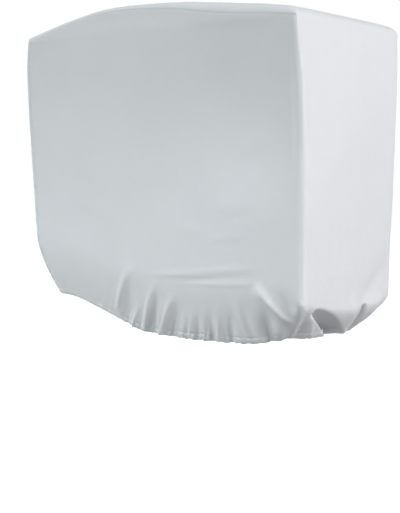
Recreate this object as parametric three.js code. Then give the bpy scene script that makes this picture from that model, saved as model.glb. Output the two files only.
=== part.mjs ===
// Outboard motor cover: a hollow cloth hood, sewn from two side panels and one centre strip.
//
// Millimetres. X runs along the motor, front at -X and back at +X. Y runs across it, port at -Y.
// Z is up, and z = 0 is the lowest point of the hem. The cloth hangs open at the bottom, drawn in
// by the elastic in its hem. Each panel is a closed thin sheet: an outer face worked out by the
// functions below, an inner face one cloth thickness inside it, and a rim all round.

import * as THREE from 'three';

// ---------------------------------------------------------------- driving dimensions

const CLOTH = 2; // thickness of the coated cloth with its slight loft
const HEM_EDGE = 3; // thickness at the folded bottom edge
const HEM_CASING = 5; // thickness of the hem over its elastic
const SEAM_GAP = 0.3; // air between neighbouring panels
const EDGE_RADIUS = 20; // rounding of the strip's upright edges along the front
const HEM_FRONT_RADIUS = 50; // corner radius of the drawn-in hem at the front, seen from above
const HEM_BACK_RADIUS = 92; // the same at the back
const HALF_CORNER = Math.PI / 4; // the back seams run along the middle of the corner's arc
const TOP_CROWN = 8; // rise of the top between its two edges
const FRONT_CROWN_REACH = 60; // way in from the front over which the top takes on its crown
const BACK_CROWN_REACH = 220; // the same from the back
const TURN_REACH = 26; // length of seam over which the strip turns from wall to top
const BACK_TOP_WRAP = 3.5; // depth of the strip's edge at the top corners of the back
const SEAM_EASE = 0.03; // share of a side next to each upright seam where its folds die out
const TOP_EASE = 0.05; // the same below the top seam
const FOLD_TAIL = 0.45; // how far a fold runs on past its low point, in its own lengths
const FOLD_SPREAD = 0.6; // widening of a fold between its low and high points
const WALL_FOLD_TOP = 690; // height above which the front and back walls have no folds
const WALL_FOLD_FADE = 60; // height over which they die out below that

// Places of the four walls at each height, and the rounding of the two upright corners at the back.
const WALLS = [
  { z: 90, front: -389, back: 398, port: -206, starboard: 197, corner: 14 },
  { z: 200, front: -392, back: 400, port: -206, starboard: 203, corner: 16 },
  { z: 320, front: -399, back: 402, port: -208, starboard: 214, corner: 17 },
  { z: 430, front: -405, back: 404, port: -212, starboard: 221, corner: 18 },
  { z: 560, front: -408, back: 405, port: -220, starboard: 229, corner: 17 },
  { z: 650, front: -405, back: 402, port: -228, starboard: 237, corner: 13 },
  { z: 712, front: -397, back: 397, port: -233, starboard: 242, corner: 9 },
];

// Side profile of the top, from the front to the back, and the rounding of its two edges.
const RIDGE = [
  { x: -396, z: 719, edge: 14 },
  { x: -320, z: 736, edge: 10 },
  { x: -247, z: 751, edge: 8 },
  { x: -205, z: 758.5, edge: 8 },
  { x: -160, z: 765.5, edge: 8 },
  { x: -118, z: 769, edge: 8 },
  { x: -65, z: 770, edge: 8.5 },
  { x: 0, z: 768, edge: 10 },
  { x: 62, z: 765, edge: 13 },
  { x: 114, z: 760.5, edge: 16 },
  { x: 169, z: 753.5, edge: 19 },
  { x: 231, z: 746, edge: 20 },
  { x: 310, z: 738.5, edge: 20 },
  { x: 396, z: 728.5, edge: 20 },
];

// Plan of the hem, drawn in by its elastic.
const HEM = { front: -363, back: 352, port: -172, starboard: 152 };

// How each stretch of cloth turns in to the hem. share runs along the stretch, hem is the height
// of its bottom edge, turn the height where it leaves the wall, soft the roundness of that turn.
const PORT_TURN = [
  { share: 0, hem: 84, turn: 240, soft: 0.8 },
  { share: 0.1, hem: 78, turn: 225, soft: 0.7 },
  { share: 0.2, hem: 58, turn: 205, soft: 0.6 },
  { share: 0.3, hem: 35, turn: 180, soft: 0.5 },
  { share: 0.38, hem: 14, turn: 166, soft: 0.55 },
  { share: 0.45, hem: 6, turn: 159, soft: 0.6 },
  { share: 0.6, hem: 0, turn: 154, soft: 0.65 },
  { share: 0.75, hem: 0, turn: 154, soft: 0.65 },
  { share: 0.86, hem: 2, turn: 150, soft: 0.6 },
  { share: 0.94, hem: 9, turn: 125, soft: 0.3 },
  { share: 1, hem: 17, turn: 105, soft: 0.35 },
];
const STARBOARD_TURN = [
  { share: 0, hem: 84, turn: 235, soft: 0.8 },
  { share: 0.15, hem: 68, turn: 215, soft: 0.65 },
  { share: 0.3, hem: 34, turn: 182, soft: 0.5 },
  { share: 0.45, hem: 8, turn: 160, soft: 0.3 },
  { share: 0.65, hem: 1, turn: 150, soft: 0.2 },
  { share: 0.85, hem: 4, turn: 138, soft: 0.25 },
  { share: 1, hem: 12, turn: 98, soft: 0.3 },
];
const BACK_TURN = [
  { share: 0, hem: 17, turn: 105, soft: 0.35 },
  { share: 0.15, hem: 15, turn: 92, soft: 0.3 },
  { share: 0.35, hem: 13, turn: 82, soft: 0.3 },
  { share: 0.6, hem: 11, turn: 78, soft: 0.3 },
  { share: 0.85, hem: 11, turn: 84, soft: 0.3 },
  { share: 1, hem: 12, turn: 98, soft: 0.3 },
];
const FRONT_TURN = [
  { share: 0, hem: 84, turn: 240, soft: 0.8 },
  { share: 0.5, hem: 86, turn: 232, soft: 0.8 },
  { share: 1, hem: 84, turn: 235, soft: 0.8 },
];

// Gathers and folds. Each runs from a low point to a high one, along is x on a side and y on the
// front and the back. rise is its height, out of the cloth, and width its half-width. fade is the
// share of its length over which it dies out towards its high point.
const PORT_FOLDS = [
  { lowAlong: -120, lowZ: 82, highAlong: -62, highZ: 182, rise: 5, width: 11, fade: 0.6 },
  { lowAlong: -104, lowZ: 36, highAlong: -48, highZ: 152, rise: -6, width: 15, fade: 0.9 },
  { lowAlong: -50, lowZ: 22, highAlong: 8, highZ: 146, rise: 6, width: 10, fade: 0.6 },
  { lowAlong: -30, lowZ: 16, highAlong: 6, highZ: 112, rise: -5, width: 11, fade: 0.9 },
  { lowAlong: 2, lowZ: 18, highAlong: 60, highZ: 120, rise: 6, width: 10, fade: 0.7 },
  { lowAlong: 26, lowZ: 10, highAlong: 72, highZ: 104, rise: -5, width: 12, fade: 0.9 },
  { lowAlong: 84, lowZ: 4, highAlong: 110, highZ: 102, rise: 4, width: 11, fade: 0.9 },
  { lowAlong: 120, lowZ: 4, highAlong: 132, highZ: 90, rise: 4, width: 10, fade: 0.9 },
  { lowAlong: 143, lowZ: 0, highAlong: 148, highZ: 96, rise: -4, width: 11, fade: 1 },
  { lowAlong: 164, lowZ: 0, highAlong: 170, highZ: 98, rise: 5, width: 10, fade: 0.9 },
  { lowAlong: 192, lowZ: 0, highAlong: 212, highZ: 92, rise: -5, width: 12, fade: 0.9 },
  { lowAlong: 244, lowZ: 20, highAlong: 214, highZ: 118, rise: 5, width: 10, fade: 0.7 },
  { lowAlong: 292, lowZ: 8, highAlong: 305, highZ: 106, rise: -9, width: 15, fade: 0.7 },
  { lowAlong: 368, lowZ: 38, highAlong: 270, highZ: 144, rise: 11, width: 11, fade: 0.4 },
  { lowAlong: 370, lowZ: 66, highAlong: 326, highZ: 142, rise: -4, width: 12, fade: 0.8 },
];
const STARBOARD_FOLDS = [
  { lowAlong: -150, lowZ: 56, highAlong: -104, highZ: 178, rise: 4, width: 14, fade: 0.8 },
  { lowAlong: -108, lowZ: 30, highAlong: -66, highZ: 158, rise: -5, width: 14, fade: 0.9 },
  { lowAlong: -60, lowZ: 10, highAlong: -26, highZ: 140, rise: 5, width: 13, fade: 0.8 },
  { lowAlong: -18, lowZ: 4, highAlong: 10, highZ: 118, rise: -6, width: 13, fade: 0.9 },
  { lowAlong: 28, lowZ: 2, highAlong: 52, highZ: 130, rise: 5, width: 12, fade: 0.8 },
  { lowAlong: 74, lowZ: 0, highAlong: 84, highZ: 108, rise: -4, width: 13, fade: 1 },
  { lowAlong: 116, lowZ: 0, highAlong: 118, highZ: 122, rise: 5, width: 12, fade: 0.9 },
  { lowAlong: 158, lowZ: 0, highAlong: 150, highZ: 112, rise: -6, width: 14, fade: 0.8 },
  { lowAlong: 204, lowZ: 2, highAlong: 188, highZ: 126, rise: 6, width: 13, fade: 0.7 },
  { lowAlong: 246, lowZ: 4, highAlong: 224, highZ: 104, rise: -5, width: 14, fade: 0.9 },
  { lowAlong: 292, lowZ: 8, highAlong: 252, highZ: 122, rise: 7, width: 13, fade: 0.6 },
  { lowAlong: 334, lowZ: 16, highAlong: 302, highZ: 106, rise: -6, width: 13, fade: 0.9 },
];
const BACK_FOLDS = [
  { lowAlong: -96, lowZ: 34, highAlong: -172, highZ: 82, rise: 7, width: 9, fade: 0.5 },
  { lowAlong: 18, lowZ: 24, highAlong: -144, highZ: 72, rise: -22, width: 24, fade: 0.3 },
  { lowAlong: 44, lowZ: 8, highAlong: 2, highZ: 112, rise: 7, width: 13, fade: 0.5 },
  { lowAlong: 92, lowZ: 14, highAlong: 104, highZ: 84, rise: -16, width: 30, fade: 0.35 },
  { lowAlong: 112, lowZ: 108, highAlong: 226, highZ: 176, rise: -4, width: 16, fade: 0.4 },
];
const FRONT_FOLDS = [
  { lowAlong: -104, lowZ: 86, highAlong: -120, highZ: 196, rise: 3, width: 14, fade: 1 },
  { lowAlong: -58, lowZ: 86, highAlong: -66, highZ: 180, rise: -4, width: 14, fade: 1 },
  { lowAlong: -6, lowZ: 86, highAlong: -2, highZ: 204, rise: 4, width: 15, fade: 0.9 },
  { lowAlong: 46, lowZ: 86, highAlong: 58, highZ: 184, rise: -4, width: 14, fade: 1 },
  { lowAlong: 100, lowZ: 86, highAlong: 118, highZ: 200, rise: 3, width: 14, fade: 1 },
];

// Broad soft swells and dents of the walls: a centre, two half-sizes and a height out of the cloth.
const PORT_SWELLS = [
  { along: 250, z: 480, reach: 150, tall: 165, rise: -12 },
  { along: 20, z: 420, reach: 110, tall: 190, rise: -3 },
  { along: -190, z: 430, reach: 150, tall: 200, rise: 4 },
  { along: 180, z: 163, reach: 120, tall: 9, rise: 2.2 },
  { along: 195, z: 143, reach: 90, tall: 8, rise: 2 },
  { along: 196, z: 229, reach: 55, tall: 9, rise: 1.5 },
];
const STARBOARD_SWELLS = [
  { along: 180, z: 520, reach: 150, tall: 140, rise: -5 },
  { along: -120, z: 430, reach: 190, tall: 180, rise: 4 },
  { along: 120, z: 250, reach: 150, tall: 70, rise: 3 },
];
const BACK_SWELLS = [
  { along: -20, z: 430, reach: 110, tall: 220, rise: 4 },
  { along: 90, z: 620, reach: 70, tall: 60, rise: -2 },
];
const FRONT_SWELLS = [
  { along: 20, z: 430, reach: 120, tall: 200, rise: 4 },
];

// Grid of each panel. Rows climb from the hem to the top seam, and columns run from the front
// seam to the back seam. Both are shares of that way.
const ROWS = [0, 0.009, 0.02, 0.045, 0.075, 0.11, 0.15, 0.19, 0.235, 0.3, 0.4, 0.53, 0.68, 0.83, 0.975, 1];
const FRONT_COLUMNS = [0, 0.014, 0.05, 0.11, 0.17, 0.23, 0.275];
const GATHERED_COLUMNS = 28; // even steps over the gathered stretch behind them
const GATHERED_END = 0.95;
const BACK_COLUMNS = [0.97, 0.983, 0.9925, 1];
// Grid across the strip, in shares of the way from its port seam to its starboard seam. The first
// and last few follow the rounded edges.
const EDGE_STEPS = 3;
const FLAT_STEPS = 9;

// ---------------------------------------------------------------- tables

/** Smooth value of every column of a table at one place along its first column. */
function rowAt(rows, key, place) {
  const last = rows.length - 1;
  if (place <= rows[0][key]) {
    return rows[0];
  }
  if (place >= rows[last][key]) {
    return rows[last];
  }
  let low = 0;
  while (rows[low + 1][key] <= place) {
    low += 1;
  }
  const span = rows[low + 1][key] - rows[low][key];
  const t = (place - rows[low][key]) / span;
  const found = {};
  for (const name of Object.keys(rows[0])) {
    const slope = (i) => {
      const before = rows[Math.max(i - 1, 0)];
      const after = rows[Math.min(i + 1, last)];
      return (after[name] - before[name]) / (after[key] - before[key]);
    };
    const start = rows[low][name];
    const end = rows[low + 1][name];
    const ease = t * t * (3 - 2 * t);
    const leave = t * (1 - t) * (1 - t) * span * slope(low);
    const arrive = t * t * (t - 1) * span * slope(low + 1);
    found[name] = start + (end - start) * ease + leave + arrive;
  }
  return found;
}

/** 0 at t = 0 and 1 at t = 1, level at the start; soft is the roundness of its bend. */
function ramp(t, soft) {
  const lift = Math.hypot(t, soft) - soft;
  return lift / (Math.hypot(1, soft) - soft);
}

/** Smooth step from 0 to 1 as t goes from 0 to 1. */
function ease(t) {
  const held = Math.min(Math.max(t, 0), 1);
  return held * held * (3 - 2 * held);
}

/** Height that a table of folds adds at one place of a wall. */
function foldRise(folds, along, z) {
  let total = 0;
  for (const fold of folds) {
    const runAlong = fold.highAlong - fold.lowAlong;
    const runZ = fold.highZ - fold.lowZ;
    const length = Math.hypot(runAlong, runZ);
    const up = ((along - fold.lowAlong) * runAlong + (z - fold.lowZ) * runZ) / length ** 2;
    const off = ((along - fold.lowAlong) * runZ - (z - fold.lowZ) * runAlong) / length;
    const spread = fold.width * (0.8 + FOLD_SPREAD * Math.min(Math.max(up, 0), 1));
    const fading = ease((1 - up) / fold.fade);
    const starting = ease((up + FOLD_TAIL) / FOLD_TAIL);
    total += fold.rise * fading * starting * Math.exp(-((off / spread) ** 2));
  }
  return total;
}

/** Height that a table of broad swells adds at one place of a wall. */
function swellRise(swells, along, z) {
  let total = 0;
  for (const swell of swells) {
    const far = ((along - swell.along) / swell.reach) ** 2 + ((z - swell.z) / swell.tall) ** 2;
    total += swell.rise * Math.exp(-far);
  }
  return total;
}

// ---------------------------------------------------------------- plan curves

/**
 * Point of a plan curve made of an arc, a straight and an arc, at a share of its length. It runs
 * along +u from start to end, with its straight at depth 0 and its arcs falling away to depth > 0.
 */
function planCurve(share, start, end, startRadius, startAngle, endRadius, endAngle) {
  const startArc = startRadius * startAngle;
  const endArc = endRadius * endAngle;
  const straight = end - endRadius - (start + startRadius);
  const gone = share * (startArc + straight + endArc);
  if (gone < startArc) {
    const angle = startAngle - gone / startRadius;
    return {
      u: start + startRadius - startRadius * Math.sin(angle),
      depth: startRadius - startRadius * Math.cos(angle),
    };
  }
  if (gone <= startArc + straight) {
    return { u: start + startRadius + gone - startArc, depth: 0 };
  }
  const angle = (gone - startArc - straight) / endRadius;
  return {
    u: end - endRadius + endRadius * Math.sin(angle),
    depth: endRadius - endRadius * Math.cos(angle),
  };
}

/** Plan of a side between its seams: the front one lies on the side, the back one on the corner. */
function sideWallCurve(share, wall) {
  return planCurve(share, wall.front, wall.back, EDGE_RADIUS, 0, wall.corner, HALF_CORNER);
}

/** Plan of a side's hem, between the middles of two rounded corners. */
function sideHemCurve(share) {
  return planCurve(
    share, HEM.front, HEM.back, HEM_FRONT_RADIUS, HALF_CORNER, HEM_BACK_RADIUS, HALF_CORNER);
}

// ---------------------------------------------------------------- surfaces before the folds

// sign is the way that a wall looks, and backRise how much higher its top seam is at the back
// than the ridge gives.
const PORT = {
  sign: -1,
  wall: 'port',
  backRise: 0,
  turns: PORT_TURN,
  folds: PORT_FOLDS,
  swells: PORT_SWELLS,
};
const STARBOARD = {
  sign: 1,
  wall: 'starboard',
  backRise: 9,
  turns: STARBOARD_TURN,
  folds: STARBOARD_FOLDS,
  swells: STARBOARD_SWELLS,
};
const FRONT = {
  sign: -1,
  wall: 'front',
  turns: FRONT_TURN,
  folds: FRONT_FOLDS,
  swells: FRONT_SWELLS,
};
const BACK = {
  sign: 1,
  wall: 'back',
  turns: BACK_TURN,
  folds: BACK_FOLDS,
  swells: BACK_SWELLS,
};

/** Share of the way from wall to hem that the cloth has turned in at height z. */
function turnedIn(turn, z) {
  const low = Math.min(Math.max((turn.turn - z) / (turn.turn - turn.hem), 0), 1);
  return ramp(low, turn.soft);
}

/** Height of a side's top seam at a share of its length. */
function topSeamHeight(side, share) {
  const topWall = WALLS[WALLS.length - 1];
  const x = sideWallCurve(share, topWall).u;
  const top = rowAt(RIDGE, 'x', x);
  return top.z - top.edge + side.backRise * share ** 2;
}

/** Point of a side panel: share runs from the front seam to the back seam, rise from hem to top. */
function sidePoint(side, share, rise) {
  const turn = rowAt(side.turns, 'share', share);
  const z = turn.hem + (topSeamHeight(side, share) - turn.hem) * rise;
  const wall = rowAt(WALLS, 'z', z);
  const above = sideWallCurve(share, wall);
  const hem = sideHemCurve(share);
  const inward = turnedIn(turn, z);
  const aboveY = wall[side.wall] - side.sign * above.depth;
  const hemY = HEM[side.wall] - side.sign * hem.depth;
  return new THREE.Vector3(
    above.u + (hem.u - above.u) * inward,
    aboveY + (hemY - aboveY) * inward,
    z,
  );
}

/** Point of the strip's front or back wall: share runs from the port seam to the starboard seam. */
function endPoint(end, share, rise) {
  const turn = rowAt(end.turns, 'share', share);
  const atFront = end === FRONT;
  const portTop = topSeamHeight(PORT, atFront ? 0 : 1);
  const starboardTop = topSeamHeight(STARBOARD, atFront ? 0 : 1);
  const top = portTop + (starboardTop - portTop) * share;
  const z = turn.hem + (top - turn.hem) * rise;
  const wall = rowAt(WALLS, 'z', z);
  const radius = atFront ? EDGE_RADIUS : wall.corner;
  const angle = atFront ? Math.PI / 2 : HALF_CORNER;
  const above = planCurve(share, wall.port, wall.starboard, radius, angle, radius, angle);
  const hemRadius = atFront ? HEM_FRONT_RADIUS : HEM_BACK_RADIUS;
  const hem = planCurve(
    share, HEM.port, HEM.starboard, hemRadius, HALF_CORNER, hemRadius, HALF_CORNER);
  const inward = turnedIn(turn, z);
  const aboveX = wall[end.wall] - end.sign * above.depth;
  const hemX = HEM[end.wall] - end.sign * hem.depth;
  return new THREE.Vector3(
    aboveX + (hemX - aboveX) * inward,
    above.u + (hem.u - above.u) * inward,
    z,
  );
}

/**
 * Section of the strip over the top, between two seam points. outward is the way that its face
 * looks, depth how far that face stands above the seams, and share goes from port to starboard.
 */
function topPoint(portSeam, starboardSeam, outward, depth, crown, share) {
  const across = starboardSeam.clone().sub(portSeam);
  const width = across.length();
  across.divideScalar(width);
  const curve = planCurve(share, 0, width, depth, Math.PI / 2, depth, Math.PI / 2);
  const domed = crown * (1 - (2 * share - 1) ** 4);
  return portSeam.clone()
    .addScaledVector(across, curve.u)
    .addScaledVector(outward, depth - curve.depth + domed);
}

// ---------------------------------------------------------------- grids

/** Shares along a side, closer together where the cloth is gathered and at the seams. */
function sideColumns() {
  const shares = [...FRONT_COLUMNS];
  const first = FRONT_COLUMNS[FRONT_COLUMNS.length - 1];
  for (let i = 1; i <= GATHERED_COLUMNS; i += 1) {
    shares.push(first + ((GATHERED_END - first) * i) / GATHERED_COLUMNS);
  }
  return [...shares, ...BACK_COLUMNS];
}

/** Shares across the strip at one station, whose rounded edges have the given length. */
function stripColumns(edgeShare) {
  const shares = [];
  for (let i = 0; i < EDGE_STEPS; i += 1) {
    shares.push((edgeShare * i) / EDGE_STEPS);
  }
  for (let i = 0; i <= FLAT_STEPS; i += 1) {
    shares.push(edgeShare + ((1 - 2 * edgeShare) * i) / FLAT_STEPS);
  }
  for (let i = EDGE_STEPS - 1; i >= 0; i -= 1) {
    shares.push(1 - (edgeShare * i) / EDGE_STEPS);
  }
  return shares;
}

/** Unit normals of a grid of points, by differences between neighbours. */
function gridNormals(points) {
  const rows = points.length - 1;
  const columns = points[0].length - 1;
  return points.map((line, r) => line.map((_, c) => {
    const alongColumn = line[Math.min(c + 1, columns)].clone().sub(line[Math.max(c - 1, 0)]);
    const alongRow = points[Math.min(r + 1, rows)][c].clone()
      .sub(points[Math.max(r - 1, 0)][c]);
    return alongColumn.cross(alongRow).normalize();
  }));
}

/** The level part of a normal, turned to point outward: folds rise and sink along it. */
function levelled(normal, turn) {
  return new THREE.Vector3(normal.x * turn, normal.y * turn, 0).normalize();
}

/** Thickness of the cloth at each row above the hem. */
function rowThickness(row) {
  if (row === 0) {
    return HEM_EDGE;
  }
  return row === 1 ? HEM_CASING : CLOTH;
}

/** Grid of one side panel, its folds and swells raised out of the smooth surface. */
function sideGrid(side) {
  const columns = sideColumns();
  const flip = side.sign > 0;
  const smoothPoints = ROWS.map((rise) => columns.map((share) => sidePoint(side, share, rise)));
  const normals = gridNormals(smoothPoints);
  const points = smoothPoints.map((line, r) => line.map((point, c) => {
    const fromUprights = ease(columns[c] / SEAM_EASE) * ease((1 - columns[c]) / SEAM_EASE);
    const fromSeams = fromUprights * ease((1 - ROWS[r]) / TOP_EASE);
    const rise = foldRise(side.folds, point.x, point.z) + swellRise(side.swells, point.x, point.z);
    const outward = levelled(normals[r][c], flip ? -1 : 1);
    return point.clone().addScaledVector(outward, rise * fromSeams);
  }));
  const thickness = points.map((line, r) => line.map(() => rowThickness(r)));
  return { points, thickness, flip };
}

/** Way that the strip's face looks and how deep its edges are, near one top corner of the side. */
function turnOutward(distance, wallWay, topWay, edge, cornerDepth) {
  const turned = ease(0.5 + distance / (2 * TURN_REACH));
  const outward = wallWay.clone().lerp(topWay, turned).normalize();
  const near = Math.max(1 - Math.abs(distance) / TURN_REACH, 0);
  return { outward, depth: edge + (cornerDepth - edge) * near ** 2 };
}

/** Stations of the strip: up the front wall, back over the top and down the back wall. */
function stripGrid() {
  const columns = sideColumns();
  const forward = new THREE.Vector3(-1, 0, 0);
  const backward = new THREE.Vector3(1, 0, 0);
  const points = [];
  const thickness = [];

  const addWall = (end, rise, row) => {
    const middle = endPoint(end, 0.5, rise);
    const sideStart = endPoint(end, 0, rise);
    const atFront = end === FRONT;
    const inward = turnedIn(rowAt(end.turns, 'share', 0), sideStart.z);
    const hemRadius = atFront ? HEM_FRONT_RADIUS : HEM_BACK_RADIUS;
    const wallRadius = atFront ? EDGE_RADIUS : rowAt(WALLS, 'z', sideStart.z).corner;
    const radius = wallRadius * (1 - inward) + hemRadius * inward;
    const arc = radius * (atFront ? (Math.PI / 2) * (1 - inward) + HALF_CORNER * inward : HALF_CORNER);
    const length = Math.abs(middle.y - sideStart.y) * 2 + arc;
    const line = stripColumns(arc / length).map((share) => endPoint(end, share, rise));
    points.push(line);
    thickness.push(line.map(() => rowThickness(row)));
  };
  const addTurn = (portSeam, starboardSeam, outward, depth, crown) => {
    const width = starboardSeam.distanceTo(portSeam);
    const arc = (depth * Math.PI) / 2;
    const shares = stripColumns(arc / (width - 2 * depth + 2 * arc));
    const line = shares.map(
      (share) => topPoint(portSeam, starboardSeam, outward, depth, crown, share));
    points.push(line);
    thickness.push(line.map(() => CLOTH));
  };

  const frontCorner = sidePoint(PORT, 0, 1);
  const backCorner = sidePoint(PORT, 1, 1);
  const topWayAt = (share) => {
    const x = sidePoint(PORT, share, 1).x;
    const rise = rowAt(RIDGE, 'x', x + 1).z - rowAt(RIDGE, 'x', x - 1).z;
    return new THREE.Vector3(-rise, 0, 2).normalize();
  };

  ROWS.forEach((rise, row) => {
    const portSeam = sidePoint(PORT, 0, rise);
    const distance = portSeam.z - frontCorner.z;
    if (distance < -TURN_REACH) {
      addWall(FRONT, rise, row);
    } else if (rise < 1) {
      const turn = turnOutward(distance, forward, topWayAt(0), EDGE_RADIUS, EDGE_RADIUS);
      addTurn(portSeam, sidePoint(STARBOARD, 0, rise), turn.outward, turn.depth, 0);
    }
  });
  columns.forEach((share) => {
    const portSeam = sidePoint(PORT, share, 1);
    const starboardSeam = sidePoint(STARBOARD, share, 1);
    const fromFront = portSeam.x - frontCorner.x;
    const toBack = backCorner.x - portSeam.x;
    const { edge } = rowAt(RIDGE, 'x', portSeam.x);
    const turn = fromFront < toBack
      ? turnOutward(fromFront, forward, topWayAt(share), edge, EDGE_RADIUS)
      : turnOutward(toBack, backward, topWayAt(share), edge, BACK_TOP_WRAP);
    const fromEnds = ease((fromFront + EDGE_RADIUS) / FRONT_CROWN_REACH)
      * ease((toBack + EDGE_RADIUS) / BACK_CROWN_REACH);
    const crown = TOP_CROWN * fromEnds;
    addTurn(portSeam, starboardSeam, turn.outward, turn.depth, crown);
  });
  [...ROWS].reverse().forEach((rise, step) => {
    if (rise < 1) {
      addWall(BACK, rise, ROWS.length - 1 - step);
    }
  });
  return { points, thickness, flip: true };
}

/** The grid with the folds and swells of the strip's front and back walls raised on it. */
function raiseEndFolds(grid) {
  const normals = gridNormals(grid.points);
  const steps = grid.points[0].length - 1;
  const raised = grid.points.map((line, r) => line.map((point, c) => {
    const end = point.x < 0 ? FRONT : BACK;
    const fromTop = ease((WALL_FOLD_TOP - point.z) / WALL_FOLD_FADE);
    const fromSeams = ease(Math.min(c, steps - c) / (EDGE_STEPS + 1)) * fromTop;
    const rise = foldRise(end.folds, point.y, point.z) + swellRise(end.swells, point.y, point.z);
    return point.clone().addScaledVector(levelled(normals[r][c], -1), rise * fromSeams);
  }));
  return { ...grid, points: raised };
}

// ---------------------------------------------------------------- solids

/** Outward unit normals of a panel's outer face. */
function outwardNormals(grid) {
  const turn = grid.flip ? -1 : 1;
  return gridNormals(grid.points).map((line) => line.map((n) => n.multiplyScalar(turn)));
}

/** Gives both panels of a seam one common normal at each of its points. */
function shareSeamNormals(sideNormals, stripNormals, sideEdge, stripColumn) {
  sideEdge.forEach(([row, column], station) => {
    const common = sideNormals[row][column].clone()
      .add(stripNormals[station][stripColumn]).normalize();
    sideNormals[row][column] = common;
    stripNormals[station][stripColumn] = common.clone();
  });
}

/** Grid places of a side panel's seam, in the order of the strip's stations. */
function seamPlaces(rows, columns) {
  const places = [];
  for (let r = 0; r < rows - 1; r += 1) {
    places.push([r, 0]);
  }
  for (let c = 0; c < columns; c += 1) {
    places.push([rows - 1, c]);
  }
  for (let r = rows - 2; r >= 0; r -= 1) {
    places.push([r, columns - 1]);
  }
  return places;
}

/** Moves one border point half of the seam gap into its own panel. */
function drawBack(points, row, column, rowIn, columnIn) {
  const point = points[row][column];
  const inside = points[row + rowIn][column + columnIn];
  point.addScaledVector(inside.clone().sub(point).normalize(), SEAM_GAP / 2);
}

/** Closed solid of a panel from its outer face, normals and thickness. */
function sheetGeometry(grid, normals) {
  const rows = grid.points.length;
  const columns = grid.points[0].length;
  const position = [];
  grid.points.forEach((line) => line.forEach((point) => position.push(...point.toArray())));
  grid.points.forEach((line, r) => line.forEach((point, c) => {
    const inner = point.clone().addScaledVector(normals[r][c], -grid.thickness[r][c]);
    position.push(...inner.toArray());
  }));
  const outer = (r, c) => r * columns + c;
  const inner = (r, c) => rows * columns + r * columns + c;
  const index = [];
  const quad = (a, b, c, d) => {
    if (grid.flip) {
      index.push(a, c, b, a, d, c);
    } else {
      index.push(a, b, c, a, c, d);
    }
  };
  for (let r = 0; r < rows - 1; r += 1) {
    for (let c = 0; c < columns - 1; c += 1) {
      quad(outer(r, c), outer(r, c + 1), outer(r + 1, c + 1), outer(r + 1, c));
      quad(inner(r, c), inner(r + 1, c), inner(r + 1, c + 1), inner(r, c + 1));
    }
    quad(outer(r, 0), outer(r + 1, 0), inner(r + 1, 0), inner(r, 0));
    quad(outer(r + 1, columns - 1), outer(r, columns - 1), inner(r, columns - 1),
      inner(r + 1, columns - 1));
  }
  for (let c = 0; c < columns - 1; c += 1) {
    quad(outer(0, c + 1), outer(0, c), inner(0, c), inner(0, c + 1));
    quad(outer(rows - 1, c), outer(rows - 1, c + 1), inner(rows - 1, c + 1), inner(rows - 1, c));
  }
  const geometry = new THREE.BufferGeometry();
  geometry.setAttribute('position', new THREE.Float32BufferAttribute(position, 3));
  geometry.setIndex(index);
  geometry.computeVertexNormals();
  return geometry;
}

/** Draws a side panel's two upright borders and its top border back from their seams. */
function trimSide(points) {
  const top = points.length - 1;
  const last = points[0].length - 1;
  for (let c = 0; c <= last; c += 1) {
    drawBack(points, top, c, -1, 0);
  }
  for (let r = 0; r <= top; r += 1) {
    drawBack(points, r, 0, 0, 1);
    drawBack(points, r, last, 0, -1);
  }
}

/** Draws the strip's two long borders back from their seams. */
function trimStrip(points) {
  const last = points[0].length - 1;
  for (let r = 0; r < points.length; r += 1) {
    drawBack(points, r, 0, 0, 1);
    drawBack(points, r, last, 0, -1);
  }
}

/** Mesh of one panel in the pale grey coated cloth. */
function panelMesh(name, grid, normals, shade) {
  const cloth = new THREE.MeshStandardMaterial({
    name: `${name}_cloth`,
    color: new THREE.Color(shade),
    roughness: 0.72,
    metalness: 0,
  });
  const mesh = new THREE.Mesh(sheetGeometry(grid, normals), cloth);
  mesh.name = name;
  return mesh;
}

/** The whole cover: two side panels and the strip between them. */
function buildCover() {
  const port = sideGrid(PORT);
  const starboard = sideGrid(STARBOARD);
  const strip = raiseEndFolds(stripGrid());
  const portNormals = outwardNormals(port);
  const starboardNormals = outwardNormals(starboard);
  const stripNormals = outwardNormals(strip);
  const places = seamPlaces(port.points.length, port.points[0].length);
  shareSeamNormals(portNormals, stripNormals, places, 0);
  shareSeamNormals(starboardNormals, stripNormals, places, strip.points[0].length - 1);
  trimSide(port.points);
  trimSide(starboard.points);
  trimStrip(strip.points);

  const cover = new THREE.Group();
  cover.name = 'outboard_motor_cover';
  cover.add(panelMesh('side_panel_port', port, portNormals, '#c5cacd'));
  cover.add(panelMesh('side_panel_starboard', starboard, starboardNormals, '#c5cacd'));
  cover.add(panelMesh('centre_strip', strip, stripNormals, '#e6e7ea'));
  return cover;
}

export default buildCover();
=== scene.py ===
"""Outboard motor cover in pale grey boat cloth: two side panels and the strip sewn between them.

Lengths are millimetres until a mesh is made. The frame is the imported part's: X runs from the front
of the motor to its back, Y from port to starboard, Z up, and z = 0 is the lowest point of the hem.
"""

import logging
import math
from dataclasses import dataclass, field
from enum import Enum

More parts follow.
